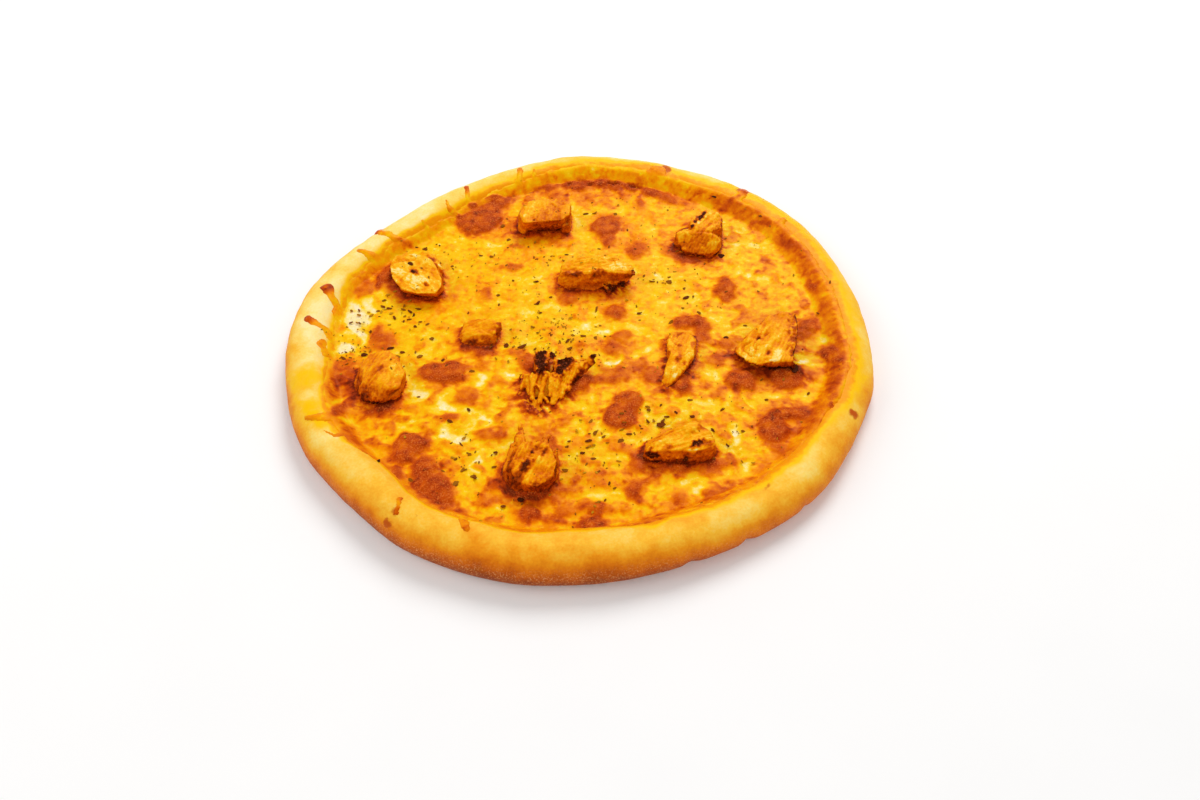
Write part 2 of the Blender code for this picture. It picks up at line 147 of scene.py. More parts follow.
def gradient_noise(points, seed):
    """Smooth noise between about -1 and 1 at each row of an (n, 3) array."""
    cell = np.floor(points).astype(np.int64)
    inner = points - cell
    fade = inner ** 3 * (inner * (inner * 6 - 15) + 10)
    total = np.zeros(len(points))
    for corner in product((0, 1), repeat=3):
        code = np.full(len(points), seed * HASH_SEED)
        for axis, prime in enumerate(HASH_PRIMES):
            code ^= (cell[:, axis] + corner[axis]) * prime
        code = ((code ^ (code >> 13)) * HASH_MIX) & 0xFFFFFFFF
        code ^= code >> 16
        slopes = np.stack([(code >> shift) & SLOPE_STEPS for shift in (0, 10, 20)], 1)
        slopes = slopes / (SLOPE_STEPS / 2) - 1
        weight = np.prod(np.where(corner, fade, 1 - fade), axis=1)
        total += weight * ((inner - corner) * slopes).sum(1)
    return total * NOISE_GAIN


def noise_on(x, y, size, seed, z=0.0):
    """Noise on the plan, with features about `size` millimetres across."""
    points = np.stack([x / size, y / size, np.full_like(x, z) + seed * SEED_SHIFT], 1)
    return gradient_noise(points, seed)


def cloud(x, y, size, seed):
    """Noise with two finer layers added."""
    total = np.zeros_like(x)
    for octave in range(3):
        total += noise_on(x, y, size / 2 ** octave, seed + OCTAVE_SEEDS * octave) / 2 ** octave
    return total / 1.5


def layers(x, y, rows, z=0.0):
    """Noises of several sizes added up. A row is height, size and seed."""
    return sum(height * noise_on(x, y, size, seed, z / size) for height, size, seed in rows)


# %% Soft steps, patches and measured spots
def ease(low, high, value):
    """A soft step from 0 at low to 1 at high."""
    t = np.clip((value - low) / (high - low), 0, 1)
    return t * t * (3 - 2 * t)


def patches(x, y, size, seed, share, stretch=1.0, blur=0.14):
    """Soft uneven patches that cover about this share of the points."""
    value = noise_on(x / stretch, y * stretch, size, seed)
    level = np.quantile(value, 1 - share)
    return ease(level - blur, level + blur, value)


def bend(x, y, warp, seed):
    """How far a coarse and a fine noise push a place aside."""
    return warp * (1.5 * noise_on(x, y, 6.0, seed) + 0.8 * noise_on(x, y, 2.4, seed + 1))


def spots(x, y, rows, blur, warp, seed):
    """How strongly a list of uneven ovals covers each point.

    A row is centre x and y, half length, half width, turn in degrees, strength.
    An oval fades out over `blur` millimetres on each side of its outline.
    """
    bent_x = x + bend(x, y, warp, seed)
    bent_y = y + bend(x, y, warp, seed + 2)
    cover = np.zeros_like(x)
    for cx, cy, half_length, half_width, turn, strength in rows:
        c, s = cos(radians(turn)), sin(radians(turn))
        u = ((bent_x - cx) * c + (bent_y - cy) * s) / half_length
        v = ((bent_y - cy) * c - (bent_x - cx) * s) / half_width
        outside = (np.hypot(u, v) - 1) * min(half_length, half_width)
        cover = np.maximum(cover, strength * ease(blur, -blur, outside))
    return cover


# %% [markdown]
# ## Meshes from arrays
#
# Every fine surface here is worked out as arrays of corners and triangles. One
# helper turns them into an object, with masks stored as attributes: numbers from
# 0 to 1 at each corner that the materials read by name.

# %% Make an object from arrays
def add_masks(mesh, masks):
    for name, values in masks.items():
        layer = mesh.attributes.new(name, "FLOAT", "POINT")
        layer.data.foreach_set("value", np.clip(values, 0, 1).astype(np.float32))


def piece_from(name, corners, triangles, masks, material):
    """An object from corners in millimetres, with its masks and material."""
    mesh = bpy.data.meshes.new(name)
    mesh.from_pydata((corners * MM).tolist(), [], triangles.tolist())
    mesh.validate()
    mesh.shade_smooth()
    add_masks(mesh, masks)
    mesh.materials.append(material)
    piece = bpy.data.objects.new(name, mesh)
    bpy.context.scene.collection.objects.link(piece)
    print(f"{name}: {len(triangles)} triangles")
    return piece


# %% [markdown]
# ## Building materials
#
# Each finish is a chain of mixes: a base colour, then a second colour laid over
# it where a mask says so. The masks come from the mesh, and a fine noise inside
# the material breaks up their edges. These helpers keep each chain short to read.

# %% Helpers for node materials
def rgb(red, green, blue):
    """A colour given as 0 to 255 on screen, as the linear value that Blender uses."""
    values = []
    for level in (red, green, blue):
        share = level / 255
        values.append(share / 12.92 if share <= 0.04045 else ((share + 0.055) / 1.055) ** 2.4)
    return (*values, 1.0)


WARM_TINT = (1.0, 0.62, 0.15, 1.0)


class Finish:
    """A Principled material and the few node patterns that this lesson repeats."""

    def __init__(self, name, roughness, **sockets):
        self.material = bpy.data.materials.new(name)
        self.material.use_nodes = True
        self.tree = self.material.node_tree
        self.shader = self.tree.nodes["Principled BSDF"]
        self.shader.inputs["Roughness"].default_value = roughness
        for socket, value in sockets.items():
            self.shader.inputs[socket.replace("_", " ")].default_value = value
        self.place = self.tree.nodes.new("ShaderNodeTexCoord").outputs["Object"]

    def link(self, output, socket):
        self.tree.links.new(output, socket)

    def mask(self, name):
        node = self.tree.nodes.new("ShaderNodeAttribute")
        node.attribute_name = name
        return node.outputs["Fac"]

    def grain(self, size, detail=2.0):
        """Noise with features of a size in millimetres, from 0 to 1."""
        node = self.tree.nodes.new("ShaderNodeTexNoise")
        node.inputs["Scale"].default_value = 1 / (size * MM)
        node.inputs["Detail"].default_value = detail
        node.inputs["Roughness"].default_value = 0.55
        self.link(self.place, node.inputs["Vector"])
        return node.outputs["Fac"]

    def math(self, operation, first, second):
        node = self.tree.nodes.new("ShaderNodeMath")
        node.operation = operation
        for socket, value in zip(node.inputs, (first, second)):
            if hasattr(value, "is_linked"):
                self.link(value, socket)
            else:
                socket.default_value = value
        return node.outputs[0]

    def span(self, value, low, high, to_low=0.0, to_high=1.0):
        """Stretch a value between two levels, softly and clamped."""
        node = self.tree.nodes.new("ShaderNodeMapRange")
        node.interpolation_type = "SMOOTHSTEP"
        self.link(value, node.inputs["Value"])
        levels = {"From Min": low, "From Max": high, "To Min": to_low, "To Max": to_high}
        for name, level in levels.items():
            node.inputs[name].default_value = level
        return node.outputs["Result"]

    def stir(self, value, size, amount, detail=3.0):
        """A value with fine noise added to it, so that its colours mingle."""
        spread = self.math("MULTIPLY", self.math("SUBTRACT", self.grain(size, detail), 0.5), amount)
        return self.math("ADD", value, spread)

    def broken(self, name, size, amount, low, high):
        """A mask whose soft edge is broken up by noise."""
        return self.span(self.stir(self.mask(name), size, amount, detail=2.0), low, high)

    def over(self, under, colour, cover):
        """Lay a colour over another where the cover says so."""
        node = self.tree.nodes.new("ShaderNodeMix")
        node.data_type = "RGBA"
        sockets = [socket for socket in node.inputs if socket.enabled]
        factor = node.inputs["Factor"]
        colours = [socket for socket in sockets if socket.type == "RGBA"]
        for value, socket in ((cover, factor), (under, colours[0]), (colour, colours[1])):
            if hasattr(value, "is_linked"):
                self.link(value, socket)
            else:
                socket.default_value = value
        return [socket for socket in node.outputs if socket.type == "RGBA"][0]

    def ramp(self, value, stops):
        """A colour read off a row of (level, colour) stops."""
        node = self.tree.nodes.new("ShaderNodeValToRGB")
        elements = node.color_ramp.elements
        elements[0].position = stops[0][0]
        elements[-1].position = stops[-1][0]
        for level, _ in stops[1:-1]:
            elements.new(level)
        for element, (_, colour) in zip(elements, stops):
            element.color = colour
        self.link(value, node.inputs["Fac"])
        return node.outputs["Color"]

    def bump(self, height, distance, after=None):
        node = self.tree.nodes.new("ShaderNodeBump")
        node.inputs["Strength"].default_value = 1.0
        node.inputs["Distance"].default_value = distance * MM
        self.link(height, node.inputs["Height"])
        if after is not None:
            self.link(after, node.inputs["Normal"])
        return node.outputs["Normal"]

    def finish(self, colour, roughness=None, normal=None):
        self.link(colour, self.shader.inputs["Base Color"])
        if roughness is not None:
            self.link(roughness, self.shader.inputs["Roughness"])
        if normal is not None:
            self.link(normal, self.shader.inputs["Normal"])
        return self.material


# %% [markdown]
# ## The outline and the rim's section
#
# The dough was stretched by hand, so its outline is not a circle: it is flatter
# at the back left and fuller at the right. One list gives the radius every 15
# degrees and another the rim's height, and smooth curves run through them. The
# rim's section is puffy outside, highest 12 mm in, and runs down to the bed.

# %% The pizza's outline, rim height and section
# Radii go round in steps of 15 degrees, starting at the right, and rim heights in
# steps of 45. The section's rows are an inset from the outline and a share of the
# rim's height, from under the foot, up the outside and down to the bed.
OUTLINE_RADII = [147, 148, 149.5, 148.5, 146, 146, 146, 141, 137, 135.5, 140, 146.5,
                 148, 147, 147, 145.5, 147, 146.5, 145.5, 144, 145.5, 148, 148, 149]
RIM_HEIGHTS = [16, 16.5, 17, 17.5, 18, 18.5, 19, 17.5]
BED_HEIGHT = 6.0
BED_INSET = 31.0
OUTLINE_WOBBLE = 0.7
HEIGHT_WOBBLE = 0.6
RIM_SECTION = [(6.5, 0.0), (3.0, 0.05), (0.9, 0.19), (0.0, 0.42), (0.8, 0.62), (3.0, 0.80), (7.0, 0.95),
               (12.0, 1.0), (17.0, 0.93), (21.0, 0.74), (24.5, 0.53), (27.5, 0.41)]
SECTION_START = (12.0, 0.0)
SECTION_HEIGHT = 17.5
SECTION_STEPS = 6
CREST_INSET = 12.0
BED_END = 38.0
TURNS = 900
MIDDLE_TURNS = 72


# %% Smooth curves round the pizza
def curve_through(a, b, c, d, t):
    """The smooth curve from b to c that heads towards a and d at its ends."""
    return 0.5 * (2 * b + (c - a) * t + (2 * a - 5 * b + 4 * c - d) * t * t
                  + (3 * b - a - 3 * c + d) * t ** 3)


def round_value(values, angle):
    """Read a list of values spaced evenly round the pizza, smoothly between them."""
    values = np.asarray(values, float)
    place = (np.asarray(angle) % 360.0) / 360.0 * len(values)
    first = np.floor(place).astype(int)
    around = [values[(first + k) % len(values)] for k in (-1, 0, 1, 2)]
    return curve_through(*around, place - first)


def wobble_table(scale, seed):
    """Smooth unevenness that closes on itself round the pizza, at each turn."""
    turns = np.radians(np.arange(TURNS) * 360.0 / TURNS)
    return np.array([lattice.noise(Vector((cos(t) * scale, sin(t) * scale, seed))) for t in turns])


def from_table(table, angle):
    """Read such a table at any angle."""
    steps = np.arange(TURNS + 1) * 360.0 / TURNS
    return np.interp(np.asarray(angle) % 360.0, steps, np.append(table, table[0]))


OUTLINE_WAVE = wobble_table(3.5, 2.0)
HEIGHT_WAVE = wobble_table(2.5, 7.0)


def outline_radius(angle):
    return round_value(OUTLINE_RADII, angle) + OUTLINE_WOBBLE * from_table(OUTLINE_WAVE, angle)


def rim_height(angle):
    return round_value(RIM_HEIGHTS, angle) + HEIGHT_WOBBLE * from_table(HEIGHT_WAVE, angle)


def middle_of_outline():
    """The middle of the outline's box, which is the origin of the part."""
    turns = np.arange(MIDDLE_TURNS) * 360.0 / MIDDLE_TURNS
    x = outline_radius(turns) * np.cos(np.radians(turns))
    y = outline_radius(turns) * np.sin(np.radians(turns))
    return (x.min() + x.max()) / 2, (y.min() + y.max()) / 2


MIDDLE_X, MIDDLE_Y = middle_of_outline()
print("outline from", round(min(OUTLINE_RADII) * 2), "to", round(max(OUTLINE_RADII) * 2), "mm across")

# %% How far in the cheese ends
CHEESE_INSETS = [13, 13, 14, 15, 16, 14, 15, 18, 19, 20, 19, 20,
                 24, 19, 17, 22, 20, 21, 22, 19, 18, 20, 16, 12]
EDGE_WAVE = wobble_table(9.0, 4.0)
EDGE_RIPPLE = wobble_table(26.0, 5.0)
WAVE_REACH = 1.3
RIPPLE_REACH = 0.9


def cheese_inset(angle):
    """How far in from the outline the cheese ends."""
    even = round_value(CHEESE_INSETS, angle)
    wave = WAVE_REACH * from_table(EDGE_WAVE, angle)
    return even + wave + RIPPLE_REACH * from_table(EDGE_RIPPLE, angle)


def round_place(x, y):
    """The angle round the pizza, and how far in from the outline."""
    px, py = x + MIDDLE_X, y + MIDDLE_Y
    angle = np.degrees(np.arctan2(py, px)) % 360.0
    return angle, outline_radius(angle) - np.hypot(px, py)


# %% The section as a fine curve
def smooth_section(steps):
    """The rim's section as a fine curve: insets, and shares of the rim height."""
    bed_share = BED_HEIGHT / SECTION_HEIGHT
    points = np.array([SECTION_START] + RIM_SECTION + [(BED_INSET, bed_share), (BED_END, bed_share)])
    fine = []
    for k in range(1, len(points) - 2):
        for t in np.arange(steps) / steps:
            fine.append(curve_through(points[k - 1], points[k], points[k + 1], points[k + 2], t))
    fine.append(points[-2])
    return np.array(fine)


SECTION = smooth_section(SECTION_STEPS)
UPPER = SECTION[SECTION[:, 0].argmin():]


def dough_height(x, y):
    """How high the dough's upper face is, before its small unevenness."""
    angle, inset = round_place(x, y)
    share = np.interp(inset, UPPER[:, 0], UPPER[:, 1])
    rise = (share * SECTION_HEIGHT - BED_HEIGHT) / (SECTION_HEIGHT - BED_HEIGHT)
    return BED_HEIGHT + (rim_height(angle) - BED_HEIGHT) * np.maximum(rise, 0)


print("section:", len(SECTION), "points")

# %% [markdown]
# ## The dough
#
# A rim like this could be sculpted, but it is one section carried round a curve,
# so it is lofted: the same fine section at 900 turns, with lumps and small dents
# added along the way. Three small folds pinch its foot at the front right, where
# the dough was pressed in. Masks note where it is toasted, creamy or greasy; the
# toasted mask also carries painted shade, and the creamy one painted highlight.

# %% Marks on the rim, in measured places
# A row is centre x and y, half length, half width, turn in degrees, strength.
GREASE_ON_RIM = [
    (16, 128, 42, 8, 0, 0.6), (62, 122, 26, 8, -25, 0.5), (100, 102, 24, 9, -45, 0.7),
    (128, 66, 30, 8, -65, 0.65), (139, 20, 34, 6, 92, 0.6), (137, -32, 22, 6, 75, 0.5),
    (-134, -29, 8, 9, 0, 0.65), (-130, -47, 6, 7, 20, 0.6), (-122, -57, 12, 3.5, -20, 0.7),
    (-84, 84, 10, 6, 40, 0.4), (142, 0, 5, 40, 0, 0.6), (134, 42, 6, 24, 20, 0.6),
    (118, 84, 20, 6, -52, 0.55), (-30, 126, 22, 6, 10, 0.5),
]
BROWN_ON_RIM = [
    (-83, -116, 2.2, 2.6, 0, 1.0), (-80, -109, 1.6, 3.4, 0, 0.7), (-70, -113, 1.6, 1.6, 0, 0.5),
    (129, -61, 2.4, 3.2, 0, 0.9), (53, 132, 3.0, 5.0, 0, 0.8), (97, 110, 5.0, 2.4, 0, 0.9),
    (127, 78, 1.8, 1.8, 0, 0.8), (84, -101, 2.4, 2.0, 40, 0.6), (135, -25, 2.0, 1.6, 0, 0.6),
    (-113, 82, 5.0, 1.8, 25, 0.8), (-12, 120, 15, 1.6, 0, 0.4),
]
# The cream rows along the front crest, from (-108, -80) round to (122, -68), are painted highlight; the
# others are the dough's own pale colour.
CREAM_AND_HIGHLIGHT_ON_RIM = [
    (-133, 20, 9, 26, 0, 0.9), (-120, 60, 7, 16, -35, 0.9), (-96, 92, 16, 6, 42, 0.9),
    (-132, -8, 7, 14, 0, 0.9), (-131, -41, 5, 4, 0, 0.8), (-121, -66, 9, 5, -30, 1.0),
    (-108, -80, 12, 5, -40, 0.4), (-88, -100, 12, 5, -50, 0.4), (22, -127, 30, 4, 0, 0.9),
    (70, -117, 26, 4, 28, 0.8), (102, -92, 20, 4, 45, 0.7), (122, -68, 14, 4, 55, 0.6),
    (-137, 0, 6, 40, 0, 0.7), (74, 126, 14, 5, -30, 0.8), (-128, 42, 6, 16, -15, 0.7),
    (144, -20, 3.5, 34, 0, 0.95), (143, 20, 3.5, 24, 0, 0.8), (70, 134, 16, 6, -20, 0.9),
    (20, 143, 26, 4, 0, 0.5), (-40, 138, 20, 5, 10, 0.5),
]
# Each fold: its angle round the pizza, its depth, and its half width in degrees.
FOLDS = [(289.6, 1.3, 1.4), (300.4, 1.6, 1.2), (313.0, 1.0, 0.8)]


def fold_depth(angle):
    """How far the small folds pull the rim's foot in."""
    depth = np.zeros_like(angle)
    for at, deep, wide in FOLDS:
        away = (angle - at + 180) % 360 - 180
        depth += deep * np.exp(-(away / wide) ** 2)
    return depth


# %% Shape the dough
INNER_SLOPE = 20.0
SLOPE_MARGIN = 5.0
DOUGH_LUMPS = [(0.95, 24.0, 3), (0.42, 9.0, 4)]
DOUGH_SKIN = [(0.07, 2.6, 5), (0.05, 1.3, 6)]
SIDEWAYS = 0.7


def dough_arrays():
    """The section carried round the outline: places, heights, angles and insets."""
    turns = np.arange(TURNS) * 360.0 / TURNS
    insets, shares = SECTION[:, 0], SECTION[:, 1]
    angle = np.tile(turns, (len(SECTION), 1))
    inset = np.tile(insets[:, None], (1, TURNS))
    height = rim_height(angle) * shares[:, None]
    past_crest = np.arange(len(SECTION)) > np.abs(insets - INNER_SLOPE).argmin()
    down_to_bed = past_crest[:, None] & (inset > INNER_SLOPE - SLOPE_MARGIN)
    height = np.where(down_to_bed, np.maximum(height, BED_HEIGHT), height)
    radius = outline_radius(angle) - inset
    low_side = ease(0.75, 0.15, shares)[:, None] * ease(8.0, 3.0, inset)
    radius = radius - fold_depth(angle) * low_side
    x = radius * np.cos(np.radians(angle)) - MIDDLE_X
    y = radius * np.sin(np.radians(angle)) - MIDDLE_Y
    return x.ravel(), y.ravel(), height.ravel(), angle.ravel(), inset.ravel()


def roughen_dough(x, y, z, angle, inset):
    """Lumps, dents and fine skin, which leave the flat underside flat."""
    free = ease(0.3, 3.5, z)
    rise = (layers(x, y, DOUGH_LUMPS, z) + layers(x, y, DOUGH_SKIN, z)) * free
    outward = np.clip((CREST_INSET - inset) / CREST_INSET, -0.4, 1)
    x = x + rise * outward * np.cos(np.radians(angle)) * SIDEWAYS
    y = y + rise * outward * np.sin(np.radians(angle)) * SIDEWAYS
    return x, y, z + rise * (1 - 0.6 * np.abs(outward))


# %% Where the dough is toasted, creamy and greasy
# Sides are angles round the pizza: 0 is the right, 90 the back, 270 the front.
# Grease, cream and browned marks start at the last two heights.
TOAST_AND_SHADE_SIDE = 242
PALE_SIDE = 175
GREASY_SIDE = 35
WARM_SHADE_SIDE = -15
MARKS_ABOVE = 7
BROWN_ABOVE = 8


def facing(angle, side):
    """How much each angle faces a side of the pizza, from -1 to 1."""
    return np.cos(np.radians(angle - side))


def dough_masks(x, y, z, angle, inset):
    """Toasting with painted shade and highlight, and where it is greasy, browned, floury or underneath."""
    seen_x, seen_y = as_seen(x, y, z)
    patchy = cloud(x, y, 24.0, 31)
    fine = noise_on(x, y, 5.0, 33, z / 5)
    down = 1 - z / rim_height(angle)
    # How much the rim faces the front left, where it is darker: partly toasting, partly painted shade on the
    # side away from the light.
    front_left = (0.5 + 0.5 * facing(angle, TOAST_AND_SHADE_SIDE)) ** 2.5
    outer = ease(CREST_INSET + 3, CREST_INSET - 3, inset)
    toast_and_shade = 0.19 + 0.14 * front_left - 0.06 * facing(angle, PALE_SIDE)
    # Darker low on the outer side: partly toasting, partly painted shade towards the foot.
    toast_and_shade = toast_and_shade + outer * ease(-0.1, 0.75, down) * (0.22 + 0.36 * front_left)
    toast_and_shade = toast_and_shade + 0.10 * outer * front_left * ease(0.02, 0.3, down)
    # Painted shade: the outer side at the right is made a little more orange, the warm colour of its shade.
    toast_and_shade = toast_and_shade + 0.03 * outer * ease(0.2, 0.9, facing(angle, WARM_SHADE_SIDE))
    blotches = cloud(x, y, 13.0, 39) * ease(0.75, 0.2, down)
    toast_and_shade = toast_and_shade + 0.14 * patchy + 0.05 * fine + 0.10 * blotches
    # Paler cream places; along the front crest they are painted highlight.
    cream_and_highlight = spots(seen_x, seen_y, CREAM_AND_HIGHLIGHT_ON_RIM, blur=5.0, warp=2.0, seed=41) * (z > MARKS_ABOVE)
    toast_and_shade = toast_and_shade - 0.13 * cream_and_highlight
    past_cheese = cheese_inset(angle) - inset
    reach = 7.5 + 4.5 * facing(angle, GREASY_SIDE) + 3 * noise_on(x, y, 14.0, 37)
    film = ease(reach, 0.0, past_cheese + 2.5 * patchy) * (z > MARKS_ABOVE)
    grease = spots(seen_x, seen_y, GREASE_ON_RIM, blur=4.0, warp=2.2, seed=45) * (z > MARKS_ABOVE)
    grease = np.maximum(grease, film) * (1 - 0.6 * cream_and_highlight)
    brown = spots(seen_x, seen_y, BROWN_ON_RIM, blur=1.6, warp=1.2, seed=49) * (z > BROWN_ABOVE)
    flour = (0.15 + 0.85 * front_left) * ease(0.15, 0.5, down) * ease(1.0, 0.85, down) * outer
    return dict(toast_and_shade=toast_and_shade, grease=grease, brown=brown, flour=flour, under=ease(1.2, 0.2, z))


# %% Join the corners of the dough
def dough_triangles(rows):
    """Triangles between the rings of corners, and a fan that closes each end."""
    row, turn = np.meshgrid(np.arange(rows - 1), np.arange(TURNS), indexing="ij")
    a = (row * TURNS + turn).ravel()
    b = (row * TURNS + (turn + 1) % TURNS).ravel()
    c, d = b + TURNS, a + TURNS
    skin = np.concatenate([np.stack([a, b, c], 1), np.stack([a, c, d], 1)])
    first = np.arange(TURNS)
    last = (rows - 1) * TURNS + first
    tips = rows * TURNS
    low_fan = np.stack([np.roll(first, -1), first, np.full(TURNS, tips)], 1)
    high_fan = np.stack([last, np.roll(last, -1), np.full(TURNS, tips + 1)], 1)
    return np.concatenate([skin, low_fan, high_fan])


# %% [markdown]
# The baked dough is pale cream on top, golden on its shoulders and orange brown
# low on its outer side, partly as painted shade, with a fine floury speckle there.
# Each of these is one colour laid over the last.

# %% Baked dough
TOAST_COLOURS = [
    (0.0, rgb(255, 232, 160)), (0.15, rgb(255, 216, 108)), (0.30, rgb(254, 192, 56)),
    (0.46, rgb(246, 156, 26)), (0.62, rgb(226, 120, 14)), (0.80, rgb(192, 86, 8)), (1.0, rgb(146, 56, 6)),
]


def make_dough_finish():
    dough = Finish("baked dough", 0.6, Subsurface_Weight=0.10, Subsurface_Scale=0.004,
                   Specular_IOR_Level=0.2)
    dough.shader.inputs["Subsurface Radius"].default_value = (1.0, 0.5, 0.15)
    dough.shader.inputs["Specular Tint"].default_value = WARM_TINT
    toast_and_shade = dough.stir(dough.stir(dough.mask("toast_and_shade"), 8, 0.25), 1.2, 0.22)
    colour = dough.ramp(toast_and_shade, TOAST_COLOURS)
    colour = dough.over(colour, rgb(255, 196, 0), dough.broken("grease", 6, 0.5, 0.05, 0.6))
    colour = dough.over(colour, rgb(248, 154, 2), dough.broken("grease", 3, 0.6, 0.62, 1.0))
    colour = dough.over(colour, rgb(196, 84, 16), dough.broken("brown", 1.2, 0.4, 0.3, 0.8))
    speck = dough.span(dough.grain(0.7, 3), 0.5, 0.68)
    speck = dough.math("MULTIPLY", speck, dough.mask("flour"))
    colour = dough.over(colour, rgb(246, 184, 118), dough.math("MULTIPLY", speck, 0.5))
    colour = dough.over(colour, rgb(214, 150, 70), dough.math("MULTIPLY", dough.mask("under"), 0.8))
    normal = dough.bump(dough.grain(0.9, 3), 0.10)
    normal = dough.bump(dough.grain(3.5, 3), 0.22, normal)
    rough = dough.span(dough.mask("grease"), 0.0, 1.0, 0.6, 0.38)
    return dough.finish(colour, rough, normal)


def make_dough():
    x, y, z, angle, inset = dough_arrays()
    x, y, z = roughen_dough(x, y, z, angle, inset)
    masks = dough_masks(x, y, z, angle, inset)
    corners = np.stack([x, y, z], 1)
    tips = np.array([(0, 0, 0), (0, 0, BED_HEIGHT)])
    for name, values in masks.items():
        masks[name] = np.append(values, (float(name == "under"), 0.0))
    piece = piece_from("baked_crust", np.concatenate([corners, tips]), dough_triangles(len(SECTION)),
                       masks, make_dough_finish())
    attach(piece, "root")
    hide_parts("crust")


make_dough()
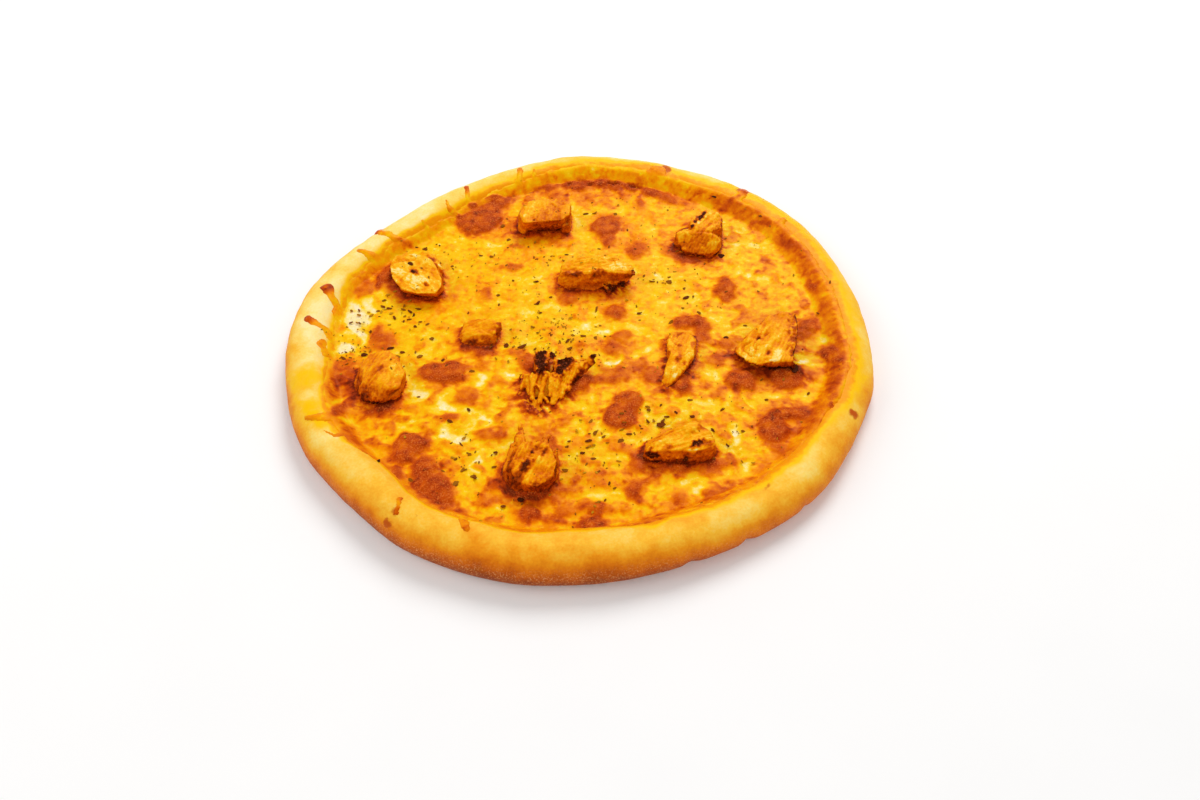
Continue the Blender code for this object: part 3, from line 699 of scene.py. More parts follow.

# %% [markdown]
# ## The chicken
#
# Each piece was pulled or cut from a roast breast, so it is a small block with
# flat sides, a ragged edge or two, and fibres that all run one way. It is built
# from a few convex lumps, given by their corners. The lumps run into each other
# and a voxel remesh makes one even skin of them. The noise on that skin is about
# a millimetre at most, so every piece keeps the place and height of its solid.

# %% The corners of each piece
# A corner is a measured place and a true height. `fibre` is the grain's
# direction and `shred` how strongly the fibres stand out, 1 where it isn't given.
# `top` and `side` are tones, from 0, dark brown, to 1, cream; the side is darker
# and the top paler partly as painted light and shade. `strands` are torn fibres that
# lie on the lumps: the place and height of both ends, and a width.
# Each mark is a measured place, a true height, a radius and a strength: tones
# are pulled down to near black, or up to cream where the strength is negative.
# Dark marks are charring; low at a piece's foot they are painted shade as well.
CHICKEN = {
    "chicken_01": dict(fibre=(0.1, 1, 0.4), top=0.66, side=0.44, lumps=[
        [(-30, 85, 20.5), (-20, 85.5, 20), (-9, 87, 20), (-4.5, 92, 20), (-3.5, 101, 20.5),
         (-9, 106, 20.5), (-22, 107, 22), (-31, 103, 21.5), (-33, 94, 21), (-33, 80, 8.6),
         (-29, 76.5, 8.6), (-8, 76, 8.6), (-3.5, 78, 8.6), (-3.5, 88, 8.6), (-9, 92, 8.6), (-24, 92, 8.6),
         (-33, 88, 8.6)],
        [(-33, 76, 8.6), (-29, 73, 8.6), (-28, 78, 8.6), (-33, 90, 17), (-29, 84, 17), (-32, 80, 13)],
        [(-9, 72.5, 8.6), (-4, 73, 8.6), (-3.5, 80, 8.6), (-9, 80, 8.6), (-8, 82, 16), (-4, 84, 16)]],
        marks=[(-19, 77, 11.5, 6, 0.72), (-12, 77, 11.5, 5, 0.72), (-20, 83, 18, 7, 0.25),
               (-5, 84, 16, 4, 0.3), (-10, 90, 20, 3, 0.25), (-26, 97, 21, 6, -0.2), (-12, 98, 21, 5, 0.12),
               (-24, 88, 20.5, 4, -0.12)]),
    "chicken_02": dict(fibre=(1, -0.9, 0), top=0.80, side=0.40, lumps=[
        [(-102, 53, 16.5), (-99.5, 42, 16.5), (-93.5, 32, 17), (-85, 28.5, 17), (-75, 28.5, 17),
         (-72.5, 33, 17), (-73, 41, 17.5), (-77, 49, 18), (-81, 58, 18.5), (-91, 61, 17.5), (-99, 60, 17),
         (-101, 48, 8.6), (-92, 31, 8.6), (-85, 27, 8.6), (-73, 26, 8.6), (-71, 30, 8.6),
         (-71.5, 40, 8.6), (-76, 48, 8.6), (-85, 53, 8.6), (-95, 50, 8.6)],
        [(-82, 62, 17), (-79, 52, 16.5), (-72.5, 47, 15), (-71.5, 43, 12), (-78, 60, 15), (-84, 56, 12),
         (-73, 40, 9), (-80, 50, 9)]],
        marks=[(-88, 45, 17, 2.2, 1.0), (-81, 35.5, 17, 1.4, 0.8), (-79, 56, 17, 2.2, 0.6),
               (-77, 51, 16, 2.0, 0.6), (-96, 57, 17, 3, 0.15), (-93, 36, 17, 2.5, 0.2),
               (-77, 46, 17.5, 4, 0.15), (-97, 46, 17, 3, -0.3), (-85, 38, 17, 5, -0.3),
               (-92, 47, 17, 3, -0.25), (-89, 54, 17, 4, -0.15), (-80, 32, 17, 3, 0.15)]),
    "chicken_03": dict(shred=1.5, fibre=(0.7, 1, 0.3), top=0.72, side=0.44, lumps=[
        [(55, 73, 18), (64, 74.5, 20.5), (75, 72, 21), (79, 66, 18), (53.5, 67, 14), (58, 58, 13),
         (66, 54.5, 13), (73, 54.5, 13), (79, 60, 14), (54, 63, 8.6), (58, 56.5, 8.6), (66, 52, 8.6),
         (73, 52, 8.6), (79, 58, 8.6), (80, 66, 8.6), (78, 76, 8.6), (60, 76, 8.6)],
        [(64, 76, 21), (75, 74, 21), (81, 77, 20), (82, 85, 21), (80, 91, 22), (74, 94, 22.5),
         (69, 91, 22.5), (64, 83, 22), (62, 72, 9), (80, 66, 9), (81, 76, 9), (72, 80, 9), (64, 78, 9)],
        [(73, 91, 22), (79, 96, 21.5), (82, 92, 20.5), (77, 86, 21)]],
        marks=[(65, 63, 16, 9, 0.34), (70, 63, 15, 3, 0.8), (65, 79, 21.5, 1.3, 1.0),
               (67, 83, 22, 1.5, 1.0), (70, 86, 22, 1.9, 1.0), (72, 90, 22.5, 1.4, 1.0),
               (79, 56.5, 11, 3.0, 1.0), (82, 79, 16, 5, 0.55), (80, 64, 12, 3, 0.4), (58, 57, 10, 4, 0.8),
               (66, 52.5, 9.5, 5, 0.8), (68, 80, 22, 3.5, -0.3), (80, 96, 21, 2, 0.9), (76, 70, 20, 2, 0.2),
               (55, 73, 17, 2, 0.6)]),
    "chicken_04": dict(shred=1.4, fibre=(1, 0.1, 0.15), top=0.72, side=0.47, lumps=[
        [(-9, 42, 18.5), (-8, 50, 19), (1, 55, 20.5), (13, 56, 22), (14, 43, 21), (3, 41, 19.5),
         (-9, 31, 8.6), (-5, 26.5, 8.6), (5, 26, 8.6), (14, 26, 8.6), (16, 34, 8.6), (14, 44, 8.6),
         (0, 45, 8.6), (-9, 40, 8.6), (-10, 36, 14)],
        [(12, 44, 21.5), (22, 41.5, 21), (31, 40, 19), (30.5, 46, 20), (22, 54, 22), (12, 56, 22.5),
         (27, 38, 15), (22, 33, 12), (14, 28, 8.6), (20, 29, 8.6), (24, 33, 8.6), (25, 42, 8.6),
         (14, 46, 8.6)],
        [(13, 27, 8.6), (20, 26.5, 8.6), (21, 32, 13), (14, 32, 14), (17, 27, 13)],
        [(22.5, 28, 8.6), (26, 28, 8.6), (26.5, 34, 13), (23, 34, 14)],
        [(-5, 41, 19), (-3.5, 43, 20.2), (-2, 41, 19), (-3, 38, 16)],
        [(2, 40, 19), (3.5, 43, 20.2), (5, 41, 19), (4, 37, 16)]],
        marks=[(17, 28, 11, 4.0, 1.0), (24.5, 31, 12, 3.0, 1.0), (10, 41, 20.5, 3.2, 0.7),
               # (-3, 26) is painted shadow at the foot.
               (-3, 26, 9.5, 3.6, 0.8), (0, 41.5, 19, 2, 0.7), (-6, 42.5, 19, 1.8, 0.6),
               (20, 38, 18, 3.5, 0.35), (30, 39, 18, 3, 0.6), (10, 35, 14, 5, 0.22), (22, 48, 22, 5, -0.22),
               (-6, 38, 16, 3, -0.15)]),
    "chicken_05": dict(fibre=(1, 0.2, 0.2), top=0.70, side=0.50, lumps=[
        [(-59, -1, 14.5), (-58, 7, 15.5), (-50, 9.5, 17), (-43, 8, 17), (-40, 5.5, 16.5), (-42, -2, 15.5),
         (-50, -3, 15.5), (-60, -8, 8.6), (-57, -12.5, 8.6), (-47, -14.5, 8.6), (-41.5, -13.5, 8.6),
         (-39.5, -6, 8.6), (-40, 2, 8.6), (-50, 4, 8.6), (-59, 1, 8.6)],
        [(-43, 5, 17), (-39.5, 7, 17.8), (-38.5, 3, 16.5), (-42, -2, 14), (-39.5, -4, 10), (-42.5, -8, 10)]],
        marks=[(-53, -8, 12.5, 2.6, 0.75), (-46, -9, 12, 3, 0.4), (-41, -1, 14, 3, 0.5),
               (-39.5, 5, 17, 1.8, 0.6), (-50, -13.5, 9.5, 8, 0.35)]),
    "chicken_06": dict(shred=1.4, fibre=(0.6, 1, 0), top=0.68, side=0.28, lumps=[
        [(79, -16, 14), (85, -8, 17), (92, 0, 19), (98, 6.5, 20), (106, 9, 20.5), (112.5, 7.5, 20.5),
         (112, -3, 20), (109, -14, 19.5), (106.5, -26, 18.5), (96, -25.5, 18.5), (88, -28, 16),
         (83, -25, 15), (79, -20, 14), (80, -18, 11), (86, -27, 12), (96, -29, 14), (105, -30, 14),
         (110, -8, 14), (111, -2, 13), (100, 0, 10), (88, -8, 10)],
        [(86, -22, 8.6), (98, -24, 8.6), (106, -22, 8.6), (109, -8, 8.6), (104, -2, 8.6), (90, -8, 8.6),
         (90, -14, 15), (104, -14, 16), (88, -22, 13), (104, -22, 15)],
        # The last two lumps are dark blobs under the front edge: charring and painted shadow.
        [(104, -35, 8.8), (108, -34, 8.8), (108.5, -29, 10), (104, -29, 11), (107, -27, 16),
         (105, -30, 14.5)],
        [(92, -33, 8.8), (99, -33.5, 8.8), (99, -29, 11.5), (92, -29, 11.5), (96, -33, 10.2)]],
        # (106.3, -32) and (96, -32) paint the shadow under the front edge, with charring.
        marks=[(106.3, -32, 11, 4.2, 1.0), (96, -32, 10.5, 5, 1.0), (91, -10, 18.5, 1.7, 0.9),
               (95, -19.5, 19, 1.3, 0.7), (112, 3, 17, 5, 0.62), (111, -5, 17, 5, 0.62),
               (109.5, -13, 16.5, 5, 0.66), (108, -21, 15.5, 5, 0.72), (112.5, 5, 18, 1.6, 1.0),
               (84, -26, 12, 3, 0.2), (90, -28.5, 12, 2, 0.4), (84, -9, 16, 2, 0.35), (94, 2, 18.5, 2, 0.3),
               (84, -22, 16, 4, -0.34), (98, -23, 18.5, 3.5, -0.4), (92, -17, 18.5, 3, -0.2),
               (88, -24, 17, 3, -0.2), (104, 7, 20.5, 5, 0.15), (79, -16, 13, 3, 0.4)]),
    "chicken_07": dict(shred=1.4, fibre=(0.5, 1, 0.1), top=0.61, side=0.44, lumps=[
        [(-108, -22, 17), (-104, -14, 18.5), (-95, -12, 19), (-89, -17, 18.5), (-85, -27, 17.5),
         (-86, -36, 17), (-93, -38, 18.5), (-103, -35, 18.5), (-100, -24, 21), (-106, -38, 14),
         (-103, -45, 12), (-95, -46, 14), (-86, -43, 13), (-109, -36, 9), (-104, -46, 8.6),
         (-95, -48, 8.6), (-85, -45, 8.6), (-83.5, -36, 8.6), (-88, -26, 8.6), (-98, -23, 8.6),
         (-107, -27, 9)]],
        # The low marks from (-98, -49) to (-102, -42) are painted shade at the foot.
        marks=[(-98, -49, 10, 5, 0.95), (-91, -48, 10, 3.4, 0.5), (-104, -46, 11.5, 4.0, 0.8),
               (-102, -42, 13.5, 5, 0.5), (-106, -33, 14, 4, 0.4), (-108, -38, 13, 3, 0.6),
               (-97, -24, 20, 1.4, 0.5), (-88, -24, 18, 5, -0.2), (-95, -15, 19, 5, -0.1),
               (-95, -44, 14, 5, 0.25)]),
    "chicken_08": dict(fibre=(0.15, 1, -0.35), top=0.72, side=0.48, shred=0.7, lumps=[
        [(-21, -16, 18.5), (-18, -14.5, 19.5), (-15, -15.5, 19.5), (-14.5, -24, 19), (-16, -28, 17.5),
         (-20, -28.5, 17.5), (-22, -29, 8.6), (-14, -30, 8.6), (-14, -22, 8.6), (-20, -21, 8.6)],
        [(-15, -16, 19), (-11, -16, 19.5), (-10, -19, 19), (-12, -21.5, 18.5), (-16, -21, 18),
         (-13, -19, 12)],
        [(-12, -21, 19.5), (-2.5, -19.5, 20), (-2, -24, 19), (-6, -31, 17.5), (-11, -31.5, 17),
         (-12, -32, 8.6), (-2, -31, 8.6), (0, -25, 8.6), (-10, -24, 8.6)],
        [(-13.5, -23, 19.5), (-12, -20.5, 21), (-1, -17.8, 21.5), (0.5, -19.5, 20), (-2, -21, 19)],
        [(-25, -31, 15.6), (-4, -30, 16.6), (-8, -47, 10.3), (-24, -47, 10.1), (-25, -47, 8.6),
         (-7, -47, 8.6), (-26, -33, 8.6), (-3, -33, 8.6)],
        [(6.5, -18, 19), (9.5, -19, 18.5), (9.4, -24, 16.5), (6.5, -28, 14.5), (1, -34, 13),
         (-4, -40, 11), (-5, -30, 16), (-2, -22, 18.5), (4, -22, 18)],
        [(-24.5, -49, 10.5), (-18.5, -49.5, 12), (-16, -53, 11), (-17, -56.5, 8.8), (-24, -56.5, 8.8),
         (-26, -50, 8.8)],
        [(-28.6, -30, 14), (-27, -30, 15), (-28, -37, 9.5), (-30, -37, 9.5), (-27.4, -34, 9.5)]],
        strands=[(-25.5, -30.5, 16.5, -28, -44, 11.5, 2.4), (-23, -30, 17.5, -21.5, -47, 13, 2.8),
                 (-19, -29.5, 18.5, -23, -44, 14, 2.0), (-15.6, -29, 18.5, -18.5, -50, 13, 3.0),
                 (-20, -37, 16.5, -14, -50, 12, 1.8), (-12.4, -30, 18, -13.2, -45, 14.5, 2.4),
                 (-8.8, -31, 18.5, -11.6, -51, 12, 3.4), (-4.4, -29, 18, -8, -47, 12.5, 3.2),
                 (-0.5, -26, 18.5, -5, -42, 14.5, 2.6), (3.5, -23, 19, -1.5, -34, 15.5, 2.8),
                 (8.2, -18, 19.5, 4.5, -28, 16, 3.2), (-21, -48, 12, -15.6, -56, 9.5, 2.6),
                 (-25, -49, 11, -19, -57, 9.5, 2.2)],
        marks=[(-18.5, -18, 19, 4.2, 1.0), (-19, -22, 18.5, 3.6, 1.0), (-17.5, -26, 18, 4.0, 1.0),
               (-12, -18, 19.5, 2.8, 1.0), (-7, -23.5, 19.5, 3.8, 1.0), (-8.5, -28, 18.5, 3.8, 1.0),
               (-4, -22, 19.5, 2.6, 0.9), (8, -18.5, 19, 2.3, 0.95), (8.8, -22.5, 17, 2.0, 0.7),
               # (-3, -39), (-5, -43) and (0, -34) are painted shadow under the right side.
               (6, -26.5, 15.5, 2.2, 0.6), (2, -30, 15, 2.6, 0.7), (-3, -39, 11.5, 3.5, 1.0),
               (-5, -43, 10, 3.0, 1.0), (0, -34, 12, 3.2, 0.9), (-15, -49, 10, 2.0, 0.7),
               (-12.5, -51.5, 9.5, 2.0, 0.65), (-28, -32, 13.5, 2.4, 0.5), (-29, -36, 10.5, 2.0, 0.4),
               (-24, -48.5, 10, 1.6, 0.55), (-21, -38, 13, 1.0, 0.5), (-24, -36, 15, 4, -0.14),
               (-12.5, -21.5, 20, 1.6, -0.3), (-6, -19.6, 20.8, 1.8, -0.3)]),
    "chicken_09": dict(shred=1.6, fibre=(0.3, 1, 0), top=0.68, side=0.5, lumps=[
        [(47, -4, 14.5), (56, -4, 15), (59.5, -11, 16), (58, -20, 16.5), (54, -28, 15.5), (45, -16, 16),
         (46, -10, 8.6), (44, -24, 8.6), (52, -31, 8.6), (59, -20, 8.6), (60, -10, 8.6), (54, -6, 8.6)],
        [(46, -18, 16), (56, -22, 16.5), (53, -30, 15), (48, -33, 14), (46, -38, 12.5), (43, -43, 10.5),
         (41, -38, 11.5), (43, -28, 14), (41, -38, 8.6), (43, -42.5, 8.6), (46, -39, 8.6), (52, -29, 8.6)]],
        marks=[(51, -14, 16, 1.4, 0.5), (50, -22, 16, 1.8, 0.5), (53, -26, 15.5, 1.0, 0.5),
               (58, -14, 15.5, 1.6, 0.45), (59, -8, 14.5, 1.6, 0.4), (54, -29, 14.5, 1.4, 0.5),
               (44, -42.5, 9.5, 2.6, 0.9), (47, -37, 10, 2.4, 1.0), (42, -33, 12, 2, 0.4),
               (47.5, -34, 13.5, 1.2, -0.6), (45, -10, 14, 2, 0.35), (55, -19, 16.5, 3, -0.15),
               (52, -4, 15, 2.5, 0.3)]),
    "chicken_10": dict(shred=1.5, fibre=(0.6, 1, 0.3), top=0.62, side=0.36, lumps=[
        [(-28, -95, 17), (-18, -98.5, 18), (-11, -93, 18.5), (-9.5, -84, 20), (-13, -76, 21.5),
         (-22, -72, 22), (-29, -76, 21), (-31, -86, 19), (-34, -95, 8.6), (-28, -102.5, 8.6),
         (-15, -103, 8.6), (-9.5, -96, 8.6), (-9, -84, 8.6), (-16, -78, 8.6), (-30, -80, 8.6),
         (-34.5, -88, 8.6)],
        [(-29, -68, 20.5), (-26, -63, 19.5), (-24, -70, 21.5), (-30, -75, 18), (-26, -76, 21)],
        [(-20, -71, 21.5), (-14, -70, 20.5), (-11, -76, 20.5), (-16, -77, 22)]],
        strands=[(-27, -63, 20, -24, -80, 21.5, 2.4), (-13, -69, 21, -18, -84, 21, 2.2),
                 (-30, -74, 20, -33, -90, 14, 2.2), (-22, -84, 21.5, -26, -96, 17, 2.0),
                 (-14, -88, 20.5, -18, -101, 14, 2.2), (-10, -78, 20.5, -9.5, -94, 14, 2.2)],
        marks=[(-21, -78, 21.8, 1.7, 1.0), (-15.5, -79, 21, 1.3, 0.8), (-24, -87, 19.8, 2.6, 0.85),
               (-27, -94, 17, 3.4, 0.6), (-25, -103, 10.5, 2.8, 1.0), (-31, -88, 17, 4, 0.45),
               (-29, -95, 15, 4, 0.5), (-18, -99.5, 15.5, 4, 0.5), (-10, -90, 17, 2.4, 0.55),
               (-14, -97, 16, 3, 0.4), (-15, -73, 20.5, 3, 0.3), (-28, -68, 20, 2, 0.35),
               (-22, -93, 18, 2.5, -0.3), (-17, -82, 20.5, 4, -0.12), (-31, -100, 10, 4, 0.4)]),
    "chicken_11": dict(shred=1.4, fibre=(1, 0.3, 0.1), top=0.72, side=0.42, lumps=[
        [(31, -80, 16), (36, -73, 18), (46, -66, 20), (56, -63, 20.5), (62, -69, 19.5), (63, -77, 18.5),
         (56, -80, 18.5), (44, -79.5, 18.5), (36, -80, 17.5), (29, -84, 9), (36, -88.5, 8.6),
         (48, -90, 8.6), (60, -88.5, 8.6), (63.5, -82, 8.6), (60, -73, 8.6), (45, -71, 8.6),
         (31, -76, 8.6)],
        [(50, -65, 20.5), (54, -60, 20), (58, -62, 20), (56, -68, 21), (50, -70, 20.5)],
        [(30, -81, 14), (36, -80, 16), (37, -86, 10), (31, -85, 9), (33, -80, 17)]],
        marks=[(34, -82, 14.5, 3.2, 1.0), (35, -86, 10.5, 2.6, 1.0), (55, -76, 19, 2.3, 1.0),
               # (42, -89) is painted shadow under the front edge.
               (49, -85, 13, 1.2, 0.9), (42, -89, 9.5, 6, 0.75), (53, -88, 10, 4, 0.4),
               (54, -60.5, 20, 1.8, 0.8), (42, -77.5, 18.7, 1.6, 0.5), (60, -76, 18.8, 1.6, 0.5),
               (62, -84, 12, 4, 0.25), (53, -80.3, 18, 1.6, -0.6), (36, -71, 18, 2.5, 0.3),
               (58, -66, 20, 2, 0.3), (46, -72, 19.8, 5, -0.1)]),
}


# %% From measured places to true ones
def true_place(seen_x, seen_y, z):
    """The true place of a point that is seen at a measured place and has this height."""
    reach = (CAMERA_AT.z - z) / (CAMERA_AT.z - SEEN_LEVEL)
    x = CAMERA_AT.x + (seen_x - CAMERA_AT.x) * reach
    y = CAMERA_AT.y + (seen_y - CAMERA_AT.y) * reach
    return np.array([x, y, z])


def strand(x, y, z, end_x, end_y, end_z, width):
    """A torn strand of meat as a lump: at each end a ridge, two lower edges and an underside."""
    lump = []
    for at_x, at_y, at_z, edge, deep in ((x, y, z, 1.2, 3.0), (end_x, end_y, end_z, 1.0, 2.4)):
        lump += [(at_x - width / 2, at_y, at_z - edge), (at_x + width / 2, at_y, at_z - edge)]
        lump += [(at_x, at_y, at_z), (at_x, at_y, at_z - deep)]
    return lump


# %% One even skin from a few convex lumps
VOXEL = 0.55


def skin_of(lumps):
    """The lumps as one even mesh: arrays of corners, normals and triangles."""
    rough = bmesh.new()
    for lump in lumps:
        hull = bmesh.new()
        for corner in lump:
            hull.verts.new(true_place(*corner) * MM)
        bmesh.ops.convex_hull(hull, input=hull.verts)
        part = bpy.data.meshes.new("lump")
        hull.to_mesh(part)
        hull.free()
        rough.from_mesh(part)
        bpy.data.meshes.remove(part)
    mesh = bpy.data.meshes.new("lumps")
    rough.to_mesh(mesh)
    rough.free()
    block = bpy.data.objects.new("lumps", mesh)
    bpy.context.scene.collection.objects.link(block)
    remesh = block.modifiers.new("remesh", "REMESH")
    remesh.mode = "VOXEL"
    remesh.voxel_size = VOXEL * MM
    even = block.modifiers.new("even", "SMOOTH")
    even.factor = 0.5
    even.iterations = 5
    block.modifiers.new("triangles", "TRIANGULATE")
    evaluated = block.evaluated_get(bpy.context.evaluated_depsgraph_get())
    skin = bpy.data.meshes.new_from_object(evaluated)
    corners = np.empty(len(skin.vertices) * 3)
    skin.vertices.foreach_get("co", corners)
    normals = np.empty(len(skin.vertices) * 3)
    skin.vertex_normals.foreach_get("vector", normals)
    triangles = np.empty(len(skin.polygons) * 3, int)
    skin.polygons.foreach_get("vertices", triangles)
    bpy.data.objects.remove(block)
    bpy.data.meshes.remove(skin)
    return corners.reshape(-1, 3) / MM, normals.reshape(-1, 3), triangles.reshape(-1, 3)


# %% Fibres, marks and splits
FIBRE_SIZES = (11.0, 1.8, 2.3)
FINE_FIBRES = (1.5, 2.4, 2.4)
GRAIN_PULL = 0.7
FOOT_LEVEL = 8.6
FREE_LEVEL = 10.5


def unit(vector):
    """A vector with the same direction and a length of 1."""
    return np.asarray(vector, float) / np.linalg.norm(vector)


def fibres(points, direction, seed):
    """Ridges along the grain, and a finer set between them."""
    along = unit(direction)
    across = unit(np.cross(along, (0.1, 0.2, 1.0)))
    axes = (along, across, np.cross(along, across))
    places = np.stack([points @ axis / size for axis, size in zip(axes, FIBRE_SIZES)], 1)
    bent = places + 0.25 * gradient_noise(points / 7.0, seed + 3)[:, None]
    ridges = 1 - 2.2 * np.abs(gradient_noise(bent, seed))
    return ridges, gradient_noise(bent * FINE_FIBRES, seed + 1)


def marks_on(points, marks, grain_way, seed):
    """How far dark and pale marks pull the tone; each is ragged and longer along the grain.
    Dark marks are charring; low at a piece's foot they are painted shade as well.
    """
    ragged = 1 + 0.6 * gradient_noise(points / 2.4, seed) + 0.4 * gradient_noise(points / 1.1, seed + 1)
    burnt_and_shaded, pale = np.zeros(len(points)), np.zeros(len(points))
    for seen_x, seen_y, z, radius, strength in marks:
        offset = points - true_place(seen_x, seen_y, z)
        along = offset @ grain_way
        away = np.sqrt(np.maximum((offset ** 2).sum(1) - GRAIN_PULL * along ** 2, 0))
        cover = ease(1.35, 0.45, away / (0.85 * radius * ragged.clip(0.3)))
        if strength > 0:
            burnt_and_shaded = np.maximum(burnt_and_shaded, strength * cover)
        else:
            pale = np.maximum(pale, -strength * cover)
    return burnt_and_shaded, pale


def meat_noise(points, direction, seed):
    """The noises of one piece: ridges, fine fibres, lumps, crumbs and splits."""
    ridges, fine = fibres(points, direction, seed)
    lumps = gradient_noise(points / 5.5, seed + 5)
    crumbs = gradient_noise(points / 1.5, seed + 6)
    splits = ease(0.84, 0.97, 1 - np.abs(gradient_noise(points / (9, 6, 6), seed + 9)) * 1.3)
    splits = splits * ease(0.05, 0.45, gradient_noise(points / 9.0, seed + 10))
    return ridges, fine, lumps, crumbs, splits


def meat_relief(z, noises, burnt_and_shaded, shred):
    """How far the skin stands out, in millimetres. Its foot stays where it is."""
    ridges, fine, lumps, crumbs, splits = noises
    relief = 0.60 * lumps + 0.24 * shred * ridges + 0.14 * fine + 0.20 * crumbs - 0.6 * splits
    relief = relief + burnt_and_shaded * (0.5 * crumbs + 0.3 * fine)
    return relief * ease(FOOT_LEVEL, FREE_LEVEL, z)


def meat_tone_and_shading(points, normals, noises, look, shred, seed):
    """Tone without marks: top partly painted paler; painted shade at foot and in splits; darker edges."""
    ridges, fine, lumps, crumbs, splits = noises
    # Partly painted light and shade: the top is paler and the sides darker, as the light falls.
    upward = ease(0.15, 0.8, normals[:, 2])
    tone = look["side"] + (look["top"] - look["side"]) * upward
    tone = tone + 0.09 * shred * ridges * (0.4 + 0.6 * upward)
    tone = tone + 0.08 * fine + 0.13 * lumps + 0.05 * crumbs
    # Painted shade in the splits.
    tone = tone - 0.04 - 0.15 * splits
    # Painted shade at the foot, where each piece meets the cheese.
    tone = tone - 0.16 * ease(12.5, 9.5, points[:, 2])
    edge = ease(0.25, 0.5, normals[:, 2]) * ease(0.8, 0.55, normals[:, 2])
    return tone - 0.10 * edge * (0.5 + gradient_noise(points / 4, seed + 31))


def chicken_arrays(look, seed):
    """One piece as corners, triangles and the masks of its tone and of its charring and painted shade."""
    torn = [strand(*row) for row in look.get("strands", [])]
    points, normals, triangles = skin_of(look["lumps"] + torn)
    noises = meat_noise(points, look["fibre"], seed)
    burnt_and_shaded, pale = marks_on(points, look["marks"], unit(look["fibre"]), seed + 13)
    shred = look.get("shred", 1.0)
    points = points + normals * meat_relief(points[:, 2], noises, burnt_and_shaded, shred)[:, None]
    tone = meat_tone_and_shading(points, normals, noises, look, shred, seed)
    tone = tone + 0.6 * pale - tone * np.minimum(burnt_and_shaded, 1)
    return points, triangles, dict(tone=tone.clip(0.01, 1), char_and_shade=ease(0.6, 1.0, burnt_and_shaded))


# %% [markdown]
# Roast chicken with a spiced glaze is orange on its skin, yellow where the meat
# is bare, brown on its cut sides and nearly black where it caught the heat. The
# sides are also painted darker and the tops paler as the light falls, with painted
# shade at each piece's foot. One row of colours runs from the one to the other,
# and the tone at each point says where on that row it lies.

# %% Roast chicken
ROAST_COLOURS = [
    (0.0, rgb(58, 12, 4)), (0.14, rgb(114, 32, 2)), (0.30, rgb(176, 68, 0)), (0.45, rgb(216, 100, 0)),
    (0.60, rgb(240, 136, 0)), (0.74, rgb(250, 166, 2)), (0.88, rgb(254, 196, 40)), (1.0, rgb(255, 226, 140)),
]


def make_chicken_finish():
    meat = Finish("roast chicken", 0.45, Subsurface_Weight=0.08, Subsurface_Scale=0.003,
                  Specular_IOR_Level=0.14)
    meat.shader.inputs["Subsurface Radius"].default_value = (1.0, 0.4, 0.1)
    meat.shader.inputs["Specular Tint"].default_value = WARM_TINT
    tone = meat.stir(meat.stir(meat.mask("tone"), 2.6, 0.4), 0.9, 0.35)
    colour = meat.ramp(tone, ROAST_COLOURS)
    # The dark colour of charring, also laid on as painted shade at the pieces' feet.
    burnt_and_shaded = meat.over(rgb(60, 10, 2), rgb(136, 54, 22), meat.span(meat.grain(0.8, 2), 0.54, 0.68))
    colour = meat.over(colour, burnt_and_shaded, meat.broken("char_and_shade", 1.0, 0.6, 0.4, 0.9))
    normal = meat.bump(meat.grain(0.8, 3), 0.16)
    rough = meat.span(meat.mask("char_and_shade"), 0.0, 1.0, 0.42, 0.6)
    return meat.finish(colour, rough, normal)


def make_chicken():
    material = make_chicken_finish()
    skins = []
    for seed, (name, look) in enumerate(CHICKEN.items(), start=60):
        points, triangles, masks = chicken_arrays(look, seed)
        piece = piece_from("roast_" + name, points, triangles, masks, material)
        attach(piece, "root")
        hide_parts(name)
        skins.append(points)
    return skins


chicken_skins = make_chicken()

# %% [markdown]
# ## The cheese
#
# Melted cheese lies level over the bed, thins to a round edge where it climbs the
# rim, and runs over it here and there in drips. It browns in round blisters with
# an orange halo, and stays pale where it lies thick or wet. All of that is a few
# lists of measured places and some noise, read at every corner of one fine disc.

